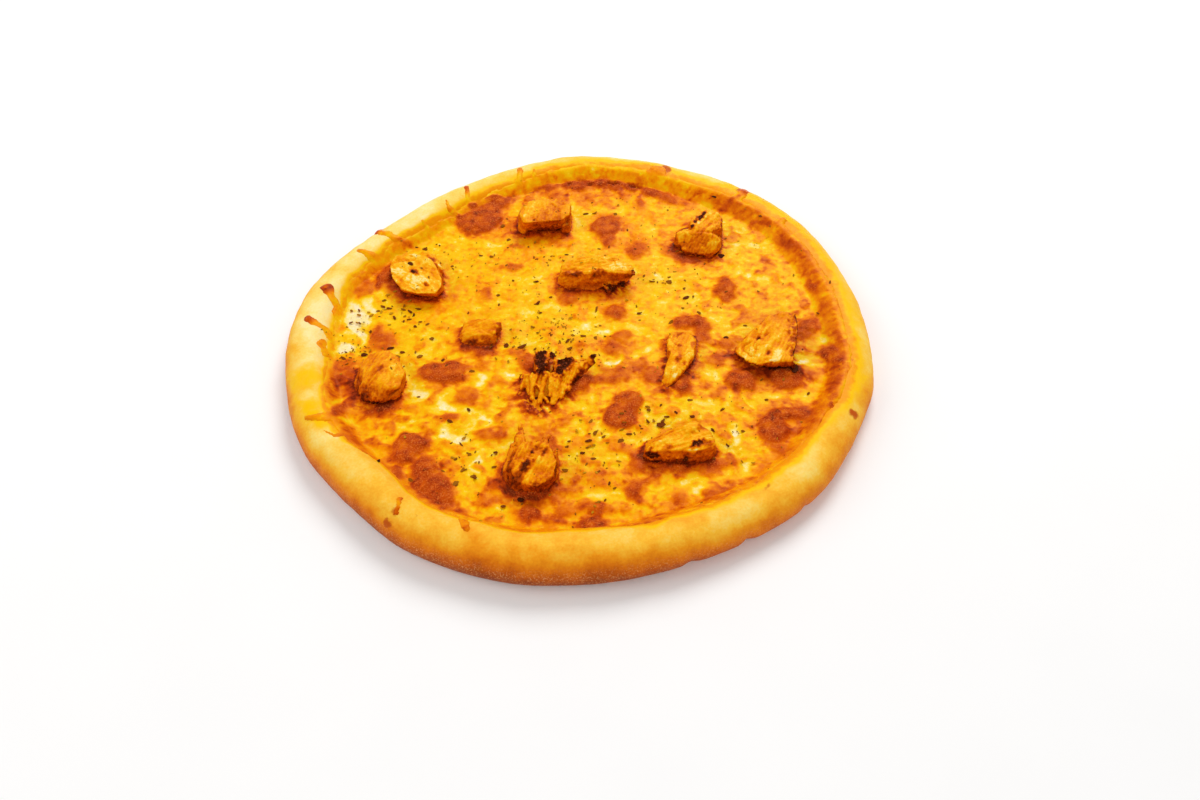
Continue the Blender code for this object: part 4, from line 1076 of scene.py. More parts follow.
# %% Measured places on the cheese
# A row is centre x and y, half length, half width, turn in degrees, strength.
BLISTERS = [
    (-56, 91, 13, 14.5, 0, 1.0), (-48, 104, 8, 7.5, 0, 1.0), (-97, 72, 4, 4, 0, 0.85),
    (-113, 33, 6, 5.5, 90, 0.66), (-71, 95, 4, 3, 0, 0.6), (16, 80, 9, 8, 65, 0.95),
    (17, 69, 4, 5.5, 0, 0.75), (33, 59, 5.5, 7, -20, 0.8), (-48, 27, 3, 5.5, 0, 0.75),
    (-34, 48, 4, 2, 0, 0.6), (-33, 65, 3.5, 2, 0, 0.5), (20, 11, 5.5, 5, 0, 0.85), (23, -7, 5, 5, 0, 0.75),
    (18, -15, 5, 5.5, 60, 0.7), (17, -34, 9, 5, 15, 0.6), (24, -50, 7, 6.5, 0, 0.95),
    (20, -59, 8.5, 8, 0, 1.0), (-66, -28.5, 12.5, 7, 4, 1.0), (-53, -43, 6.5, 5.5, 0, 0.6),
    (-25, -22, 5, 4.5, 0, 0.6), (-102, -4, 4, 8, 0, 0.55), (-97, -6, 5, 6, 0, 0.5),
    (-118, -25, 8, 7, 0, 0.6), (-77, -73, 7.5, 6.5, 0, 1.0), (-79, -79, 5, 5, 0, 1.0),
    (-69, -88, 5.5, 8, 20, 1.0), (-62, -100, 6, 11, 25, 1.0), (-69, -97, 5, 7, 0, 0.9),
    (-84, -92, 5.5, 4.5, 60, 0.95), (-72, -105, 8, 2.5, 160, 0.8), (-41, -68, 7, 3, 165, 0.55),
    (-41, -106, 4.5, 3, 0, 0.6), (-22, -113, 5, 4, 0, 0.85), (-14, -73, 4, 6, 0, 0.7),
    (-5, -112, 5, 4, 0, 0.6), (9, -111, 6.5, 3.2, 0, 0.8), (7, -120, 6, 3.8, 0, 1.0),
    (32, -119.5, 5.5, 2.8, 10, 0.85), (48, -118, 2.5, 2, 0, 0.7), (45, -106, 3.5, 4, 0, 0.45),
    (25, -102, 3.6, 5.5, -20, 0.85), (31, -97, 5, 1.8, 30, 0.7), (27, -88, 4, 5.5, 0, 0.65),
    (10, -95, 6, 4.5, 0, 0.35), (57, -112, 3.5, 2.5, 0, 0.8), (71, -105, 6, 2.4, 35, 0.85),
    (63, -89.5, 9, 3, 22, 0.65), (61, -103, 4, 3.5, 0, 0.4), (-8, -101, 6, 1.8, 0, 0.6),
    (91, -69, 6.5, 9, 0, 1.0), (100, -60, 10, 3.8, 0, 1.0), (113, -62, 4, 4, 0, 0.9),
    (108, -66, 5, 4, 0, 0.35), (92, -79, 4, 4, 0, 0.7), (80, -38, 7.5, 6.5, 0, 0.95),
    (101, -38, 8, 7, 0, 0.95), (78.5, 26.5, 5, 9.5, 4, 0.95), (57, 3, 9, 5, 0, 0.9),
    (63, -4, 4.5, 7, 0, 0.8), (51, -39, 4.5, 6.5, 0, 0.85), (36, -33, 4.5, 6, 0, 0.6),
    (118, -2, 5.5, 5, 0, 0.8), (114, -8, 4, 3.5, 0, 0.6), (125, -22, 6, 5.5, 0, 0.95),
    (130, -27, 5.5, 1.6, 70, 0.9), (126, -37, 2.5, 5, 0, 0.75), (122, -48, 8.5, 2, 45, 0.9),
    (118, -54, 5.5, 3, 0, 0.85), (124, 27, 3.5, 5, 0, 0.8), (123, 46, 3.5, 10, -10, 0.65),
    (112, 67, 3, 5, 0, 0.8), (118, 60, 6.5, 1.6, 35, 0.75), (86, 98, 3, 8, -15, 0.8),
    (93, 85, 2.6, 3, 0, 0.5), (100, 79, 3, 5, 0, 0.6), (75, -13, 4, 4.5, 0, 0.7), (68, -25, 4, 4, 0, 0.45),
    (66, -46, 3.5, 3, 0, 0.5), (62, -42, 3, 2.5, 0, 0.5), (-103, 43, 3.6, 12, -18, 1.0),
    (-95, 31, 5, 2, -40, 0.7), (-114, -51, 4.5, 4, 0, 0.85), (-60, -57, 4, 2.6, 0, 0.65),
    (-88, -62, 2.4, 4.5, 10, 0.5), (-94, -52, 13, 2.2, 6, 0.85), (3, 103, 4, 6, 0, 0.3),
    (17, 104, 4, 7, 0, 0.35), (36, 99, 3, 4.5, 0, 0.4), (48, 72, 3, 5, 0, 0.4), (44, 86, 2, 3, 0, 0.4),
    (-22, -102, 9, 3.5, 0, 0.8), (43, -91, 7, 2.2, 0, 0.8), (-30, -15, 5, 3, -20, 0.55),
    # The row at (2, -38) is painted shadow beside chicken 08, not a blister.
    (2, -38, 7, 4, 50, 0.95), (-25, -23, 5, 4, 0, 0.6), (-5, 22, 6, 4, 0, 0.7), (-50, -15, 10, 2, -8, 0.6),
    (56, 52, 10, 2.2, -30, 0.7), (90, 102, 9, 3.4, -45, 0.6), (101, 93, 7, 3.6, -45, 0.6),
    (108, 84, 5, 3, -50, 0.6), (117, 71, 5, 3, -55, 0.55), (124, 58, 4, 2.2, -68, 0.4),
    (128, 36, 6, 2.4, -82, 0.5), (129, 12, 5, 2.6, 88, 0.4), (131, -8, 5, 2.4, 84, 0.4),
    (13, 119.5, 9, 4.4, 0, 1.0), (2, 115.5, 5, 3, 10, 0.9), (57, 103, 6, 3, -38, 0.55),
    (-2, 118.5, 7, 3.4, 0, 0.95), (22, 118.5, 7, 4, -8, 1.0), (31, 115.5, 7, 3.6, -25, 1.0),
    (43, 109, 7, 4, -35, 0.95), (-16, 117, 9, 2.8, 4, 0.75), (38, 122, 4, 4, 0, 0.6),
    (33, 128.5, 3, 2.6, 0, 0.65), (14, 131, 3, 2, 0, 0.55), (52, 104, 8, 3.6, -35, 0.75),
    (0, 124, 6, 2.6, 0, 0.6), (-33, 121.5, 2.6, 4, 0, 0.6), (-12, 107, 4, 5, 0, 0.5),
    (28, 108, 3, 5, -10, 0.5), (60, 100, 5, 3, -30, 0.6), (-110, 60, 6, 3, 40, 0.4),
    (-92, 80, 8, 3, 35, 0.45), (-108, -68, 8, 5, -50, 0.45), (-96, -84, 10, 4, -45, 0.5),
    (-84, -98, 5, 3, -50, 0.5), (8, 106, 3, 5, 0, 0.4), (-14, 112, 5, 3, 0, 0.4), (52, 104, 8, 4, -20, 0.5),
]
ORANGE_ZONES = [
    (-52, 84, 16, 8, 0, 0.9), (27, 84, 16, 24, -10, 0.5), (26, 68, 12, 12, 0, 0.75),
    (-18, 68, 14, 6, 0, 0.5), (5, -12, 12, 6, 0, 0.75), (-100, -2, 11, 12, 0, 0.6),
    (-112, -32, 16, 15, 0, 0.8), (-100, -66, 16, 12, -40, 0.4), (-72, -90, 18, 24, 25, 0.55),
    (10, -96, 16, 9, 0, 0.5), (42, -112, 22, 8, 10, 0.65), (-12, -112, 26, 7, -3, 0.6),
    (100, -66, 24, 16, 0, 0.6), (92, -40, 24, 9, 0, 0.6), (60, -25, 14, 18, 0, 0.35),
    (28, -34, 16, 10, 20, 0.4), (118, 0, 12, 20, 0, 0.6), (134, 10, 6, 60, 0, 0.3),
    (128, -30, 8, 34, -12, 0.5), (120, 60, 8, 30, 35, 0.6), (96, 92, 12, 22, 45, 0.65),
    (12, 112, 62, 9, 0, 0.6), (-20, 104, 16, 10, 0, 0.45), (16, 124, 32, 6, -4, 0.45),
    (-16, 122, 14, 5, 8, 0.35), (46, 118, 10, 9, -30, 0.5), (60, 104, 16, 7, -38, 0.5),
    (-46, 80, 14, 10, 0, 0.8), (102, 48, 8, 12, 0, 0.5), (114, 44, 5, 14, 0, 0.6), (80, 36, 7, 6, 0, 0.5),
    (34, 80, 8, 10, 0, 0.4), (-121, 36, 3.5, 22, 8, 0.85), (-119, 50, 9, 16, 30, 0.7),
    (-96, 78, 18, 8, 35, 0.7), (-74, 98, 14, 8, 35, 0.6), (88, 22, 16, 14, 0, 0.3),
    (-58, 36, 12, 9, 0, 0.4), (-34, 52, 14, 8, 0, 0.35), (-25, 2, 14, 8, 0, 0.3), (90, -90, 14, 8, 40, 0.6),
    (-35, -100, 16, 8, 0, 0.4), (-18, -66, 14, 5, 0, 0.4), (60, 90, 20, 10, 0, 0.35),
]
PALE_ZONES = [
    (-116, 13, 5.5, 13, 10, 1.0), (-115, -3, 9, 7.5, 0, 1.1), (-118, -9, 7, 5, 0, 1.0),
    (-110, 22, 4, 7, 20, 0.8), (-106, 32, 2.6, 8, 30, 0.85), (-106, 18, 3, 3, 0, 0.8),
    (-102, 8, 8, 2, 0, 0.5), (-76, -42, 9, 2.8, -12, 0.95), (-62, -51, 8, 3, -40, 0.9),
    (-48, -34, 3.5, 6, 0, 0.85), (-36, -30, 7, 2.2, 0, 0.8), (20, -24, 7.5, 1.6, 13, 1.0),
    (33, -15, 6.5, 2.6, 0, 0.75), (41, -20, 5, 3, 30, 0.6), (-110, 12, 3, 9, 25, 0.9),
    (-98, 22, 5, 3, 0, 0.5), (-84, 20, 5, 2.4, 10, 0.5), (-96, 4, 6, 3, 20, 0.5),
    (-56, -71, 7, 3, -20, 0.95), (-62, -67, 3, 6, 0, 0.7), (-46, -85, 3.5, 6, 0, 0.85),
    (-37, -111, 6, 2.6, 0, 0.75), (18, -102, 3.5, 1.6, 0, 0.85), (48, -96, 6.5, 3, 0, 0.95),
    (54, -102, 3, 2.6, 0, 0.9), (73, -74, 2.4, 8, -10, 0.85), (76, -88, 2.2, 6, 0, 0.8),
    (66, -104, 3, 2.6, 0, 0.8), (80, -55, 3.6, 2.2, 0, 1.0), (74, -46, 5.5, 2.6, -30, 0.9),
    (79, -2, 6, 2.2, 40, 0.95), (123, -12, 4.6, 3, 30, 0.95), (111, -25, 3.5, 3, 0, 0.75),
    (66, -34, 4.5, 4.5, 0, 0.7), (98, 61, 10, 2.2, -25, 0.7), (88, 63, 5, 1.8, 0, 0.8),
    (85, 40, 5, 3.5, 0, 0.6), (103, 34, 9, 1.6, -12, 0.8), (98, 53, 3, 3, 0, 0.6), (5, 2, 2.6, 5, 0, 0.75),
    (-26, 12, 4, 4, 0, 0.6), (-14, 16, 8, 2.6, -10, 0.65), (12, -3, 4.5, 3, 0, 0.75),
    (28, -1, 9, 2.4, 0, 0.55), (-45, -60, 6, 4.5, 0, 0.7), (-30, -57, 7, 2.4, 0, 0.6),
    (47, -55, 5, 2.4, -40, 0.7), (60, -52, 4, 2, 0, 0.7), (37, -60, 4, 4, 0, 0.55),
    (95, -49, 5, 2.6, 0, 0.7), (106, -47, 4, 2.6, 0, 0.6), (0, 86, 2.4, 12, 0, 0.6), (25, 95, 4, 5, 0, 0.6),
    (40, 77, 4, 4, 0, 0.6), (-47, 66, 5, 2, 0, 0.6), (-66, 72, 7, 1.8, 0, 0.6), (-30, 70, 4, 2.4, 0, 0.5),
    (38, -70, 5, 2, 0, 0.4), (10, -66, 6, 3, 0, 0.4), (20, -117, 3.5, 2, 0, 0.6),
    (25, -119, 1.6, 3, -10, 0.8), (27, -110, 5, 0.9, -35, 0.8), (8, -104, 6, 2, 0, 0.6),
    (60, -72, 4, 3, 0, 0.3), (84, 18, 8, 6, 0, 0.3), (-88, -57, 8, 1.8, 10, 0.4), (119, 22, 3, 9, 0, 0.4),
    (-28, 40, 7, 4, 0, 0.3), (36, 24, 9, 5, 0, 0.3), (-70, -12, 9, 4, 0, 0.5), (-114, -45, 4, 1.6, 0, 0.8),
    (-110, -57, 7, 1.4, -35, 0.7), (118, 42, 3, 4, 0, 0.5), (-82, -33, 3, 8, 25, 0.6), (70, 5, 8, 4, 0, 0.3),
]
# Small gaps in the cheese, where the sauce shows.
BARE_SAUCE = [(8, 118.5, 4, 1.0, 0, 0.8), (-5, 118, 3, 0.8, 5, 0.8), (22, 117.5, 3.5, 1.1, -10, 0.8),
              (33, 114.5, 3, 0.9, -25, 0.8)]

# %% The cheese's edge and its drips
CHEESE_LEVEL = 9.9
EDGE_THICK = 0.8
EDGE_ROUND = 3.0
# Each drip: points along its middle in measured places, widths there, browned tip.
DRIPS = [
    ([(-118, -6), (-123, 2), (-124, 12), (-127, 25), (-134, 36)], [9, 5, 4.6, 5, 7.2], 1.0),
    ([(-118, -8), (-126, -1), (-131, 6), (-140, 12.5)], [9, 6.5, 4.6, 4.8], 0.9),
    ([(-118, -14), (-126, -12), (-130, -5)], [10, 6, 6], 0.25),
    ([(-112, 60), (-116, 64), (-121, 66)], [7, 4, 3.2], 0.35),
    ([(-100, 74), (-107, 80), (-113, 82)], [6, 4, 4], 0.9),
    ([(-82, 80), (-86, 86), (-88, 91)], [6, 3, 1.4], 0.2),
    ([(-70, 96), (-74, 102), (-76, 108)], [5, 3, 2], 0.3),
    ([(-60, 100), (-63, 108), (-65, 120)], [7, 4, 4], 0.8),
    ([(-34, 118), (-34, 128), (-34, 137)], [8, 4, 3.4], 0.4),
    ([(-24, 120), (-25, 130), (-26, 136)], [6, 3, 2.6], 0.3),
    ([(46, 112), (47, 122), (48, 132)], [12, 9, 11], 0.4),
    ([(20, 118), (19, 126), (17, 132)], [8, 5, 4], 0.2),
    ([(88, 100), (93, 105), (97, 110)], [10, 7, 6], 0.7),
    ([(112, 80), (117, 84)], [8, 4], 0.3),
    ([(-79, -103), (-80, -110)], [3, 1.8], 0.8),
    ([(-110, -52), (-120, -54), (-129, -54)], [9, 6, 3], 0.2),
    ([(-108, -64), (-114, -66), (-119, -63)], [6, 2.6, 1.4], 0.1),
    ([(-50, -115), (-48, -119)], [5, 3], 0.7),
]


# %% Where the cheese ends
FAR_OUTSIDE = -9.0
DRIP_ZONE = 40
DRIP_WANDER = 0.7


def drip_cover(x, y, points, widths):
    """How deep inside a drip each place lies, and how near to its tip, from 0 to 1."""
    deep = np.full_like(x, FAR_OUTSIDE)
    near_tip = np.zeros_like(x)
    last = len(points) - 2
    for k in range(last + 1):
        (ax, ay), (bx, by) = points[k], points[k + 1]
        length = np.hypot(bx - ax, by - ay)
        t = np.clip(((x - ax) * (bx - ax) + (y - ay) * (by - ay)) / length ** 2, 0, 1)
        away = np.hypot(x - ax - t * (bx - ax), y - ay - t * (by - ay))
        inside = (widths[k] + (widths[k + 1] - widths[k]) * t) / 2 - away
        if k == last:
            near_tip = np.where(inside > deep, t, near_tip)
        deep = np.maximum(deep, inside)
    return deep, near_tip


def cheese_cover(x, y):
    """How deep inside the cheese's edge each place lies, and the drips' browned tips."""
    angle, inset = round_place(x, y)
    seen_x, seen_y = as_seen(x, y, dough_height(x, y) + 1)
    bent_x = seen_x + DRIP_WANDER * noise_on(x, y, 3.5, 71)
    bent_y = seen_y + DRIP_WANDER * noise_on(x, y, 3.5, 72)
    deep = inset - cheese_inset(angle)
    tips = np.zeros_like(x)
    near_rim = inset < DRIP_ZONE
    for points, widths, browned in DRIPS:
        inside, tip = drip_cover(bent_x[near_rim], bent_y[near_rim], points, widths)
        deep[near_rim] = np.maximum(deep[near_rim], inside)
        tips[near_rim] = np.maximum(tips[near_rim], browned * ease(0.35, 0.9, tip) * (inside > -1))
    return deep, tips


# %% How the cheese has baked
HALO = 2.2
SLOPE_FROM = 11.0
SLOPE_FULL = 12.5


def blister_masks(x, y, seen_x, seen_y, level_part):
    """Where the cheese has blistered, how far it domes up there, and the halo round it."""
    blister = spots(seen_x, seen_y, BLISTERS, blur=1.5, warp=0.8, seed=101)
    dome = spots(seen_x, seen_y, BLISTERS, blur=4.5, warp=0.8, seed=101) ** 2
    wide = [(cx, cy, length + HALO, width + HALO, turn, strength)
            for cx, cy, length, width, turn, strength in BLISTERS]
    halo = spots(seen_x, seen_y, wide, blur=2.8, warp=1.4, seed=105)
    uneven = 0.8 + 0.5 * noise_on(x, y, 5.0, 115)
    blister = blister * np.where(blister < 0.8, uneven, 1)
    torn = 0.25 + 0.85 * patches(x, y, 7.0, 133, 0.5, blur=0.25)
    blister = blister * (level_part + (1 - level_part) * torn)
    return blister, dome, halo


def cheese_masks(x, y, z):
    """How far the cheese has baked, partly painted light on blister domes, and where it has blistered."""
    seen_x, seen_y = as_seen(x, y, z)
    level_part = ease(SLOPE_FULL, SLOPE_FROM, z)
    blister, dome, halo = blister_masks(x, y, seen_x, seen_y, level_part)
    zones = spots(seen_x, seen_y, ORANGE_ZONES, blur=5.0, warp=2.0, seed=109)
    pale = spots(seen_x, seen_y, PALE_ZONES, blur=2.0, warp=1.1, seed=113)
    front = ease(15, -40, seen_y)
    sides = ease(35, 85, seen_x) + ease(95, 112, seen_y)
    busy = np.clip(0.35 + np.maximum(front, sides), 0, 1)
    freckles = patches(x, y, 7.5, 117, 0.20, blur=0.2) * busy * (0.4 + 0.6 * level_part)
    dots = patches(x, y, 3.2, 119, 0.16, blur=0.2) * (0.5 + 0.5 * busy)
    shreds = patches(x, y, 6.0, 121, 0.30, stretch=1.35) * (0.4 + 0.6 * busy) * level_part
    flecks = patches(x, y, 3.4, 123, 0.22, stretch=1.25) * (0.7 + 0.3 * busy) * level_part
    bake_and_shading = 0.395 + 0.07 * cloud(x, y, 20.0, 125) + 0.07 * cloud(x, y, 7.0, 127)
    bake_and_shading = bake_and_shading + 0.17 * zones + 0.19 * halo * (0.4 + 0.6 * level_part) + 0.17 * freckles + 0.13 * dots
    pale = np.maximum(pale, np.maximum(0.5 * shreds, 0.5 * flecks) * (1 - 0.75 * zones))
    pale = pale * (1 - ease(0.1, 0.6, blister)) * (1 - 0.8 * freckles)
    bake_and_shading = np.maximum(bake_and_shading - 0.32 * pale - 0.18 * pale ** 3, 0.16 - 0.13 * pale)
    # Partly painted light: each blister is a little paler where its dome is highest.
    baked = 0.88 - 0.07 * dome + 0.17 * noise_on(x, y, 4.0, 129)
    bake_and_shading = np.maximum(bake_and_shading, bake_and_shading * (1 - blister) + baked * blister)
    return blister, dome, bake_and_shading, pale, freckles


# %% Painted shade round the chicken's feet in the cheese
FOOT_BAND = (9, 13.5)
LIGHT_SLANT = 0.4


def nearest_chicken(x, y):
    """How far the nearest chicken is on the plan, and how much the place lies in its shade."""
    low, high = FOOT_BAND
    foot = np.concatenate([skin[(skin[:, 2] > low) & (skin[:, 2] < high)] for skin in chicken_skins])
    tree = kdtree.KDTree(len(foot))
    for k, (px, py, _) in enumerate(foot):
        tree.insert((px, py, 0), k)
    tree.balance()
    away, behind = np.empty(len(x)), np.empty(len(x))
    for k, (px, py) in enumerate(zip(x, y)):
        at, _, away[k] = tree.find((px, py, 0))
        behind[k] = (at.y - py + LIGHT_SLANT * (at.x - px) + 0.6) / (away[k] + 0.8)
    return away, behind


def shade_at_chicken(bake_and_shading, blister, near, behind):
    """The colour level with painted shade round each chicken's foot, darkest away from the light."""
    shade = ease(-0.3, 0.9, behind)
    # Painted shade: a brown ring round each foot, and a wider orange one on the shaded side.
    bake_and_shading = bake_and_shading + (0.06 + 0.26 * shade) * np.exp(-(near / 3.0) ** 2) * (1 - blister)
    bake_and_shading = bake_and_shading + 0.20 * shade * np.exp(-(near / 8.5) ** 2) * (1 - blister)
    # Painted contact shadow right at the foot, on the shaded side.
    foot = (0.88 + 0.10 * ease(1.4, 0.3, near)) * ease(2.1, 0.3, near) * ease(0.1, 0.8, behind)
    return np.maximum(bake_and_shading, foot)


# %% The cheese's height, and its bake and painted light beside the rim
CHEESE_SWELL = [(0.6, 17, 143), (0.42, 8, 144)]
SLOPE_BLEND = 0.9
BARE_FROM = 0.25
BARE_BAKE = 0.90
UNDER_DOUGH = -9


def cheese_height(x, y, under, deep, tips, rise, near, bare):
    """The cheese's top, level on the bed and a skin on the rim, and how far it is that skin."""
    swell = layers(x, y, CHEESE_SWELL)
    shreds = 0.46 * cloud(x, y, 4.0, 147) + 0.10 * noise_on(x, y, 1.7, 149)
    climb = 0.8 * np.exp(-(near / 1.5) ** 2)
    level = CHEESE_LEVEL + swell + shreds + rise + climb - 0.5 * bare
    skin = EDGE_THICK * np.clip(deep / EDGE_ROUND, 0, 1) ** 0.7 - 0.7 * (deep < 0)
    slope = under + skin * (1 + 0.25 * noise_on(x, y, 5, 157)) + 0.35 * rise * (deep > 1)
    slope = slope + 0.3 * tips * np.clip(deep / 1.5, 0, 1)
    level = np.where(deep > 0, level, UNDER_DOUGH)
    filling = SLOPE_BLEND * np.exp(-np.abs(level - slope) / SLOPE_BLEND) * 0.35 * (deep > 2)
    return np.maximum(level, slope) + filling, ease(0.6, 3.0, slope - level)


def bake_and_light_at_rim(x, y, seen, bake_and_shading, blister, deep, tips, rim_side):
    """Streaks on the rim's slope, a scorched edge, browned drips, and painted light on the back slope."""
    seen_x, seen_y = seen
    # Painted light: the slope at the back faces away from the main light, so `back` makes it paler here, in
    # the scorch and at the edge.
    back, front = ease(95, 118, seen_y), ease(-45, -80, seen_y)
    right = ease(45, 85, seen_x) * (1 - front)
    streaks = noise_on(x, y, 9, 159) + 0.6 * noise_on(x, y, 3.5, 160)
    on_slope = 0.02 - 0.06 * back + 0.12 * right + 0.16 * streaks
    bake_and_shading = bake_and_shading + rim_side * (1 - blister) * on_slope
    bake_and_shading = bake_and_shading + 0.09 * front * ease(13, 4, deep) * (1 - blister)
    scorch = ease(4.5, 0.4, deep) * (0.1 + 0.9 * noise_on(x, y, 7, 161)) * (deep > -1)
    bake_and_shading = np.maximum(bake_and_shading, bake_and_shading + 0.22 * scorch * (1 - blister) * (1 - 0.7 * back))
    edge = ease(4.5, 0.5, deep) * (1 - 0.85 * ease(0.3, 0.8, blister))
    target = 0.45 - 0.05 * back + 0.14 * front + 0.04 * right + 0.16 * noise_on(x, y, 8, 163)
    bake_and_shading = bake_and_shading + (target - bake_and_shading) * edge
    return np.maximum(bake_and_shading, (0.45 + 0.38 * tips) * (tips > 0.02))


def cheese_surface(x, y):
    """The cheese's top, the masks that colour it, and how deep inside its edge."""
    deep, tips = cheese_cover(x, y)
    under = dough_height(x, y)
    blister, dome, bake_and_shading, pale, freckles = cheese_masks(x, y, np.maximum(under + 1, CHEESE_LEVEL))
    seen = as_seen(x, y, np.full_like(x, CHEESE_LEVEL))
    bare = spots(*seen, BARE_SAUCE, blur=1.2, warp=1.4, seed=139)
    deep = np.where(bare > BARE_FROM, np.minimum(deep, 2.2 - 4.0 * bare), deep)
    grain = 0.10 * noise_on(x, y, 1.4, 151)
    crinkle = 0.5 * noise_on(x, y, 3.0, 153) + 2 * grain
    rise = 0.5 * blister + 1.7 * dome + 0.4 * freckles + crinkle * blister - 0.3 * pale
    near, behind = nearest_chicken(x, y)
    z, rim_side = cheese_height(x, y, under, deep, tips, rise, near, bare)
    bake_and_shading = bake_and_light_at_rim(x, y, seen, bake_and_shading, blister, deep, tips, rim_side)
    bake_and_shading = shade_at_chicken(bake_and_shading, blister, near, behind)
    bake_and_shading = bake_and_shading + (BARE_BAKE - bake_and_shading) * ease(0.0, 0.3, bare)
    return z, dict(bake_and_shading=bake_and_shading, blister=blister), deep


# %% A fine disc of even triangles
DISC_RINGS = 195
DISC_MARGIN = 1.5
PAST_EDGE = 0.6


def disc(rings):
    """A disc of near-equal triangles, with 6 k corners in ring k: share, angle, triangles."""
    share, angle = [np.zeros(1)], [np.zeros(1)]
    triangles = []
    start, before = 1, 0
    for ring in range(1, rings + 1):
        count = 6 * ring
        share.append(np.full(count, ring / rings))
        angle.append(np.arange(count) * 360.0 / count)
        sector, step = np.divmod(np.arange(count), ring)
        inner_count = max(6 * (ring - 1), 1)
        inner = before + (sector * (ring - 1) + step) % inner_count
        outer = start + np.arange(count)
        following = start + (np.arange(count) + 1) % count
        triangles.append(np.stack([outer, following, inner], 1))
        if ring > 1:
            keep = step < ring - 1
            after = before + (sector * (ring - 1) + step + 1) % inner_count
            triangles.append(np.stack([inner, following, after], 1)[keep])
        before, start = start, start + count
    return np.concatenate(share), np.concatenate(angle), np.concatenate(triangles)


# %% [markdown]
# Melted cheese is bright yellow over white, so light goes a little way into it.
# Blisters are red brown and grainy, with some painted glints, and darker at the rim
# than on top, partly as painted light on each dome. The pale places are cheese
# that did not brown, and the orange ones are oil that has come out of it.

# %% Melted cheese
BAKE_COLOURS = [
    (0.0, rgb(255, 236, 188)), (0.12, rgb(254, 222, 112)), (0.25, rgb(250, 202, 14)),
    (0.40, rgb(248, 182, 0)), (0.53, rgb(247, 152, 0)), (0.65, rgb(232, 120, 0)), (0.77, rgb(206, 84, 2)),
    (0.89, rgb(172, 54, 6)), (1.0, rgb(114, 28, 4)),
]
# Fine flecks: size in millimetres, the two noise levels, and how far they bake.
CHEESE_FLECKS = [
    (6.5, 0.52, 0.68, 0.08), (3.6, 0.56, 0.72, 0.08), (7.0, 0.46, 0.32, -0.09), (3.0, 0.42, 0.30, -0.08),
]


def make_cheese_finish():
    cheese = Finish("melted cheese", 0.42, Subsurface_Weight=0.10, Subsurface_Scale=0.003,
                    Specular_IOR_Level=0.14)
    cheese.shader.inputs["Subsurface Radius"].default_value = (1.0, 0.5, 0.1)
    cheese.shader.inputs["Specular Tint"].default_value = WARM_TINT
    bake_and_shading = cheese.stir(cheese.stir(cheese.mask("bake_and_shading"), 3.0, 0.17), 1.0, 0.14)
    open_cheese = cheese.span(cheese.mask("blister"), 0.0, 0.5, 1.0, 0.0)
    for size, low, high, amount in CHEESE_FLECKS:
        flecks = cheese.math("MULTIPLY", cheese.span(cheese.grain(size, 2), low, high), open_cheese)
        bake_and_shading = cheese.math("ADD", bake_and_shading, cheese.math("MULTIPLY", flecks, amount))
    colour = cheese.ramp(bake_and_shading, BAKE_COLOURS)
    # Pale grains on the blisters: partly the cheese's own grain, partly painted glints.
    grains_and_glints = cheese.span(cheese.grain(0.7, 2), 0.50, 0.66)
    grains_and_glints = cheese.math("MULTIPLY", grains_and_glints, cheese.mask("blister"))
    colour = cheese.over(colour, rgb(234, 126, 52), cheese.math("MULTIPLY", grains_and_glints, 0.6))
    crust_grain = cheese.math("MULTIPLY", cheese.grain(0.9, 3), cheese.mask("blister"))
    normal = cheese.bump(crust_grain, 0.35)
    normal = cheese.bump(cheese.grain(2.2, 3), 0.26, normal)
    rough = cheese.span(cheese.mask("blister"), 0.0, 1.0, 0.4, 0.52)
    return cheese.finish(colour, rough, normal)


def make_cheese():
    share, angle, triangles = disc(DISC_RINGS)
    radius = share * (outline_radius(angle) - DISC_MARGIN)
    x = radius * np.cos(np.radians(angle)) - MIDDLE_X
    y = radius * np.sin(np.radians(angle)) - MIDDLE_Y
    z, masks, deep = cheese_surface(x, y)
    covered = deep > -PAST_EDGE
    kept = triangles[covered[triangles].any(1)]
    used = np.unique(kept)
    place = np.zeros(len(x), int)
    place[used] = np.arange(len(used))
    masks = {name: values[used] for name, values in masks.items()}
    corners = np.stack([x, y, z], 1)[used]
    piece = piece_from("cheese_layer", corners, place[kept], masks, make_cheese_finish())
    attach(piece, "root")
    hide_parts("melted_cheese")


make_cheese()

# %% [markdown]
# ## The tomato sauce
#
# The sauce lies under all the cheese and shows only at the back, through small
# gaps beside the rim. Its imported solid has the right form, so it stays and only
# gets a wet, uneven finish.

# %% Tomato sauce
def make_sauce_finish():
    sauce = Finish("tomato sauce", 0.22, Specular_IOR_Level=0.5)
    colour = sauce.over(rgb(150, 42, 4), rgb(190, 74, 6), sauce.span(sauce.grain(3.0, 4), 0.38, 0.6))
    colour = sauce.over(colour, rgb(224, 112, 10), sauce.span(sauce.grain(5.0, 3), 0.52, 0.72))
    normal = sauce.bump(sauce.grain(1.6, 3), 0.3)
    return sauce.finish(colour, normal=normal)


sauce_node = frame["nodes"]["tomato_sauce"]
sauce_node.data.materials.clear()
sauce_node.data.materials.append(make_sauce_finish())
print("sauce:", len(sauce_node.data.polygons), "faces")

# %% [markdown]
# ## The herbs
#
# Dried oregano falls in loose clusters: many specks and a few curled leaves. Each
# is a thin, seven-sided, bent flake with its own tone. They lie on the cheese and
# the chicken, and they are joined into one mesh, because hundreds of objects
# would be no better.

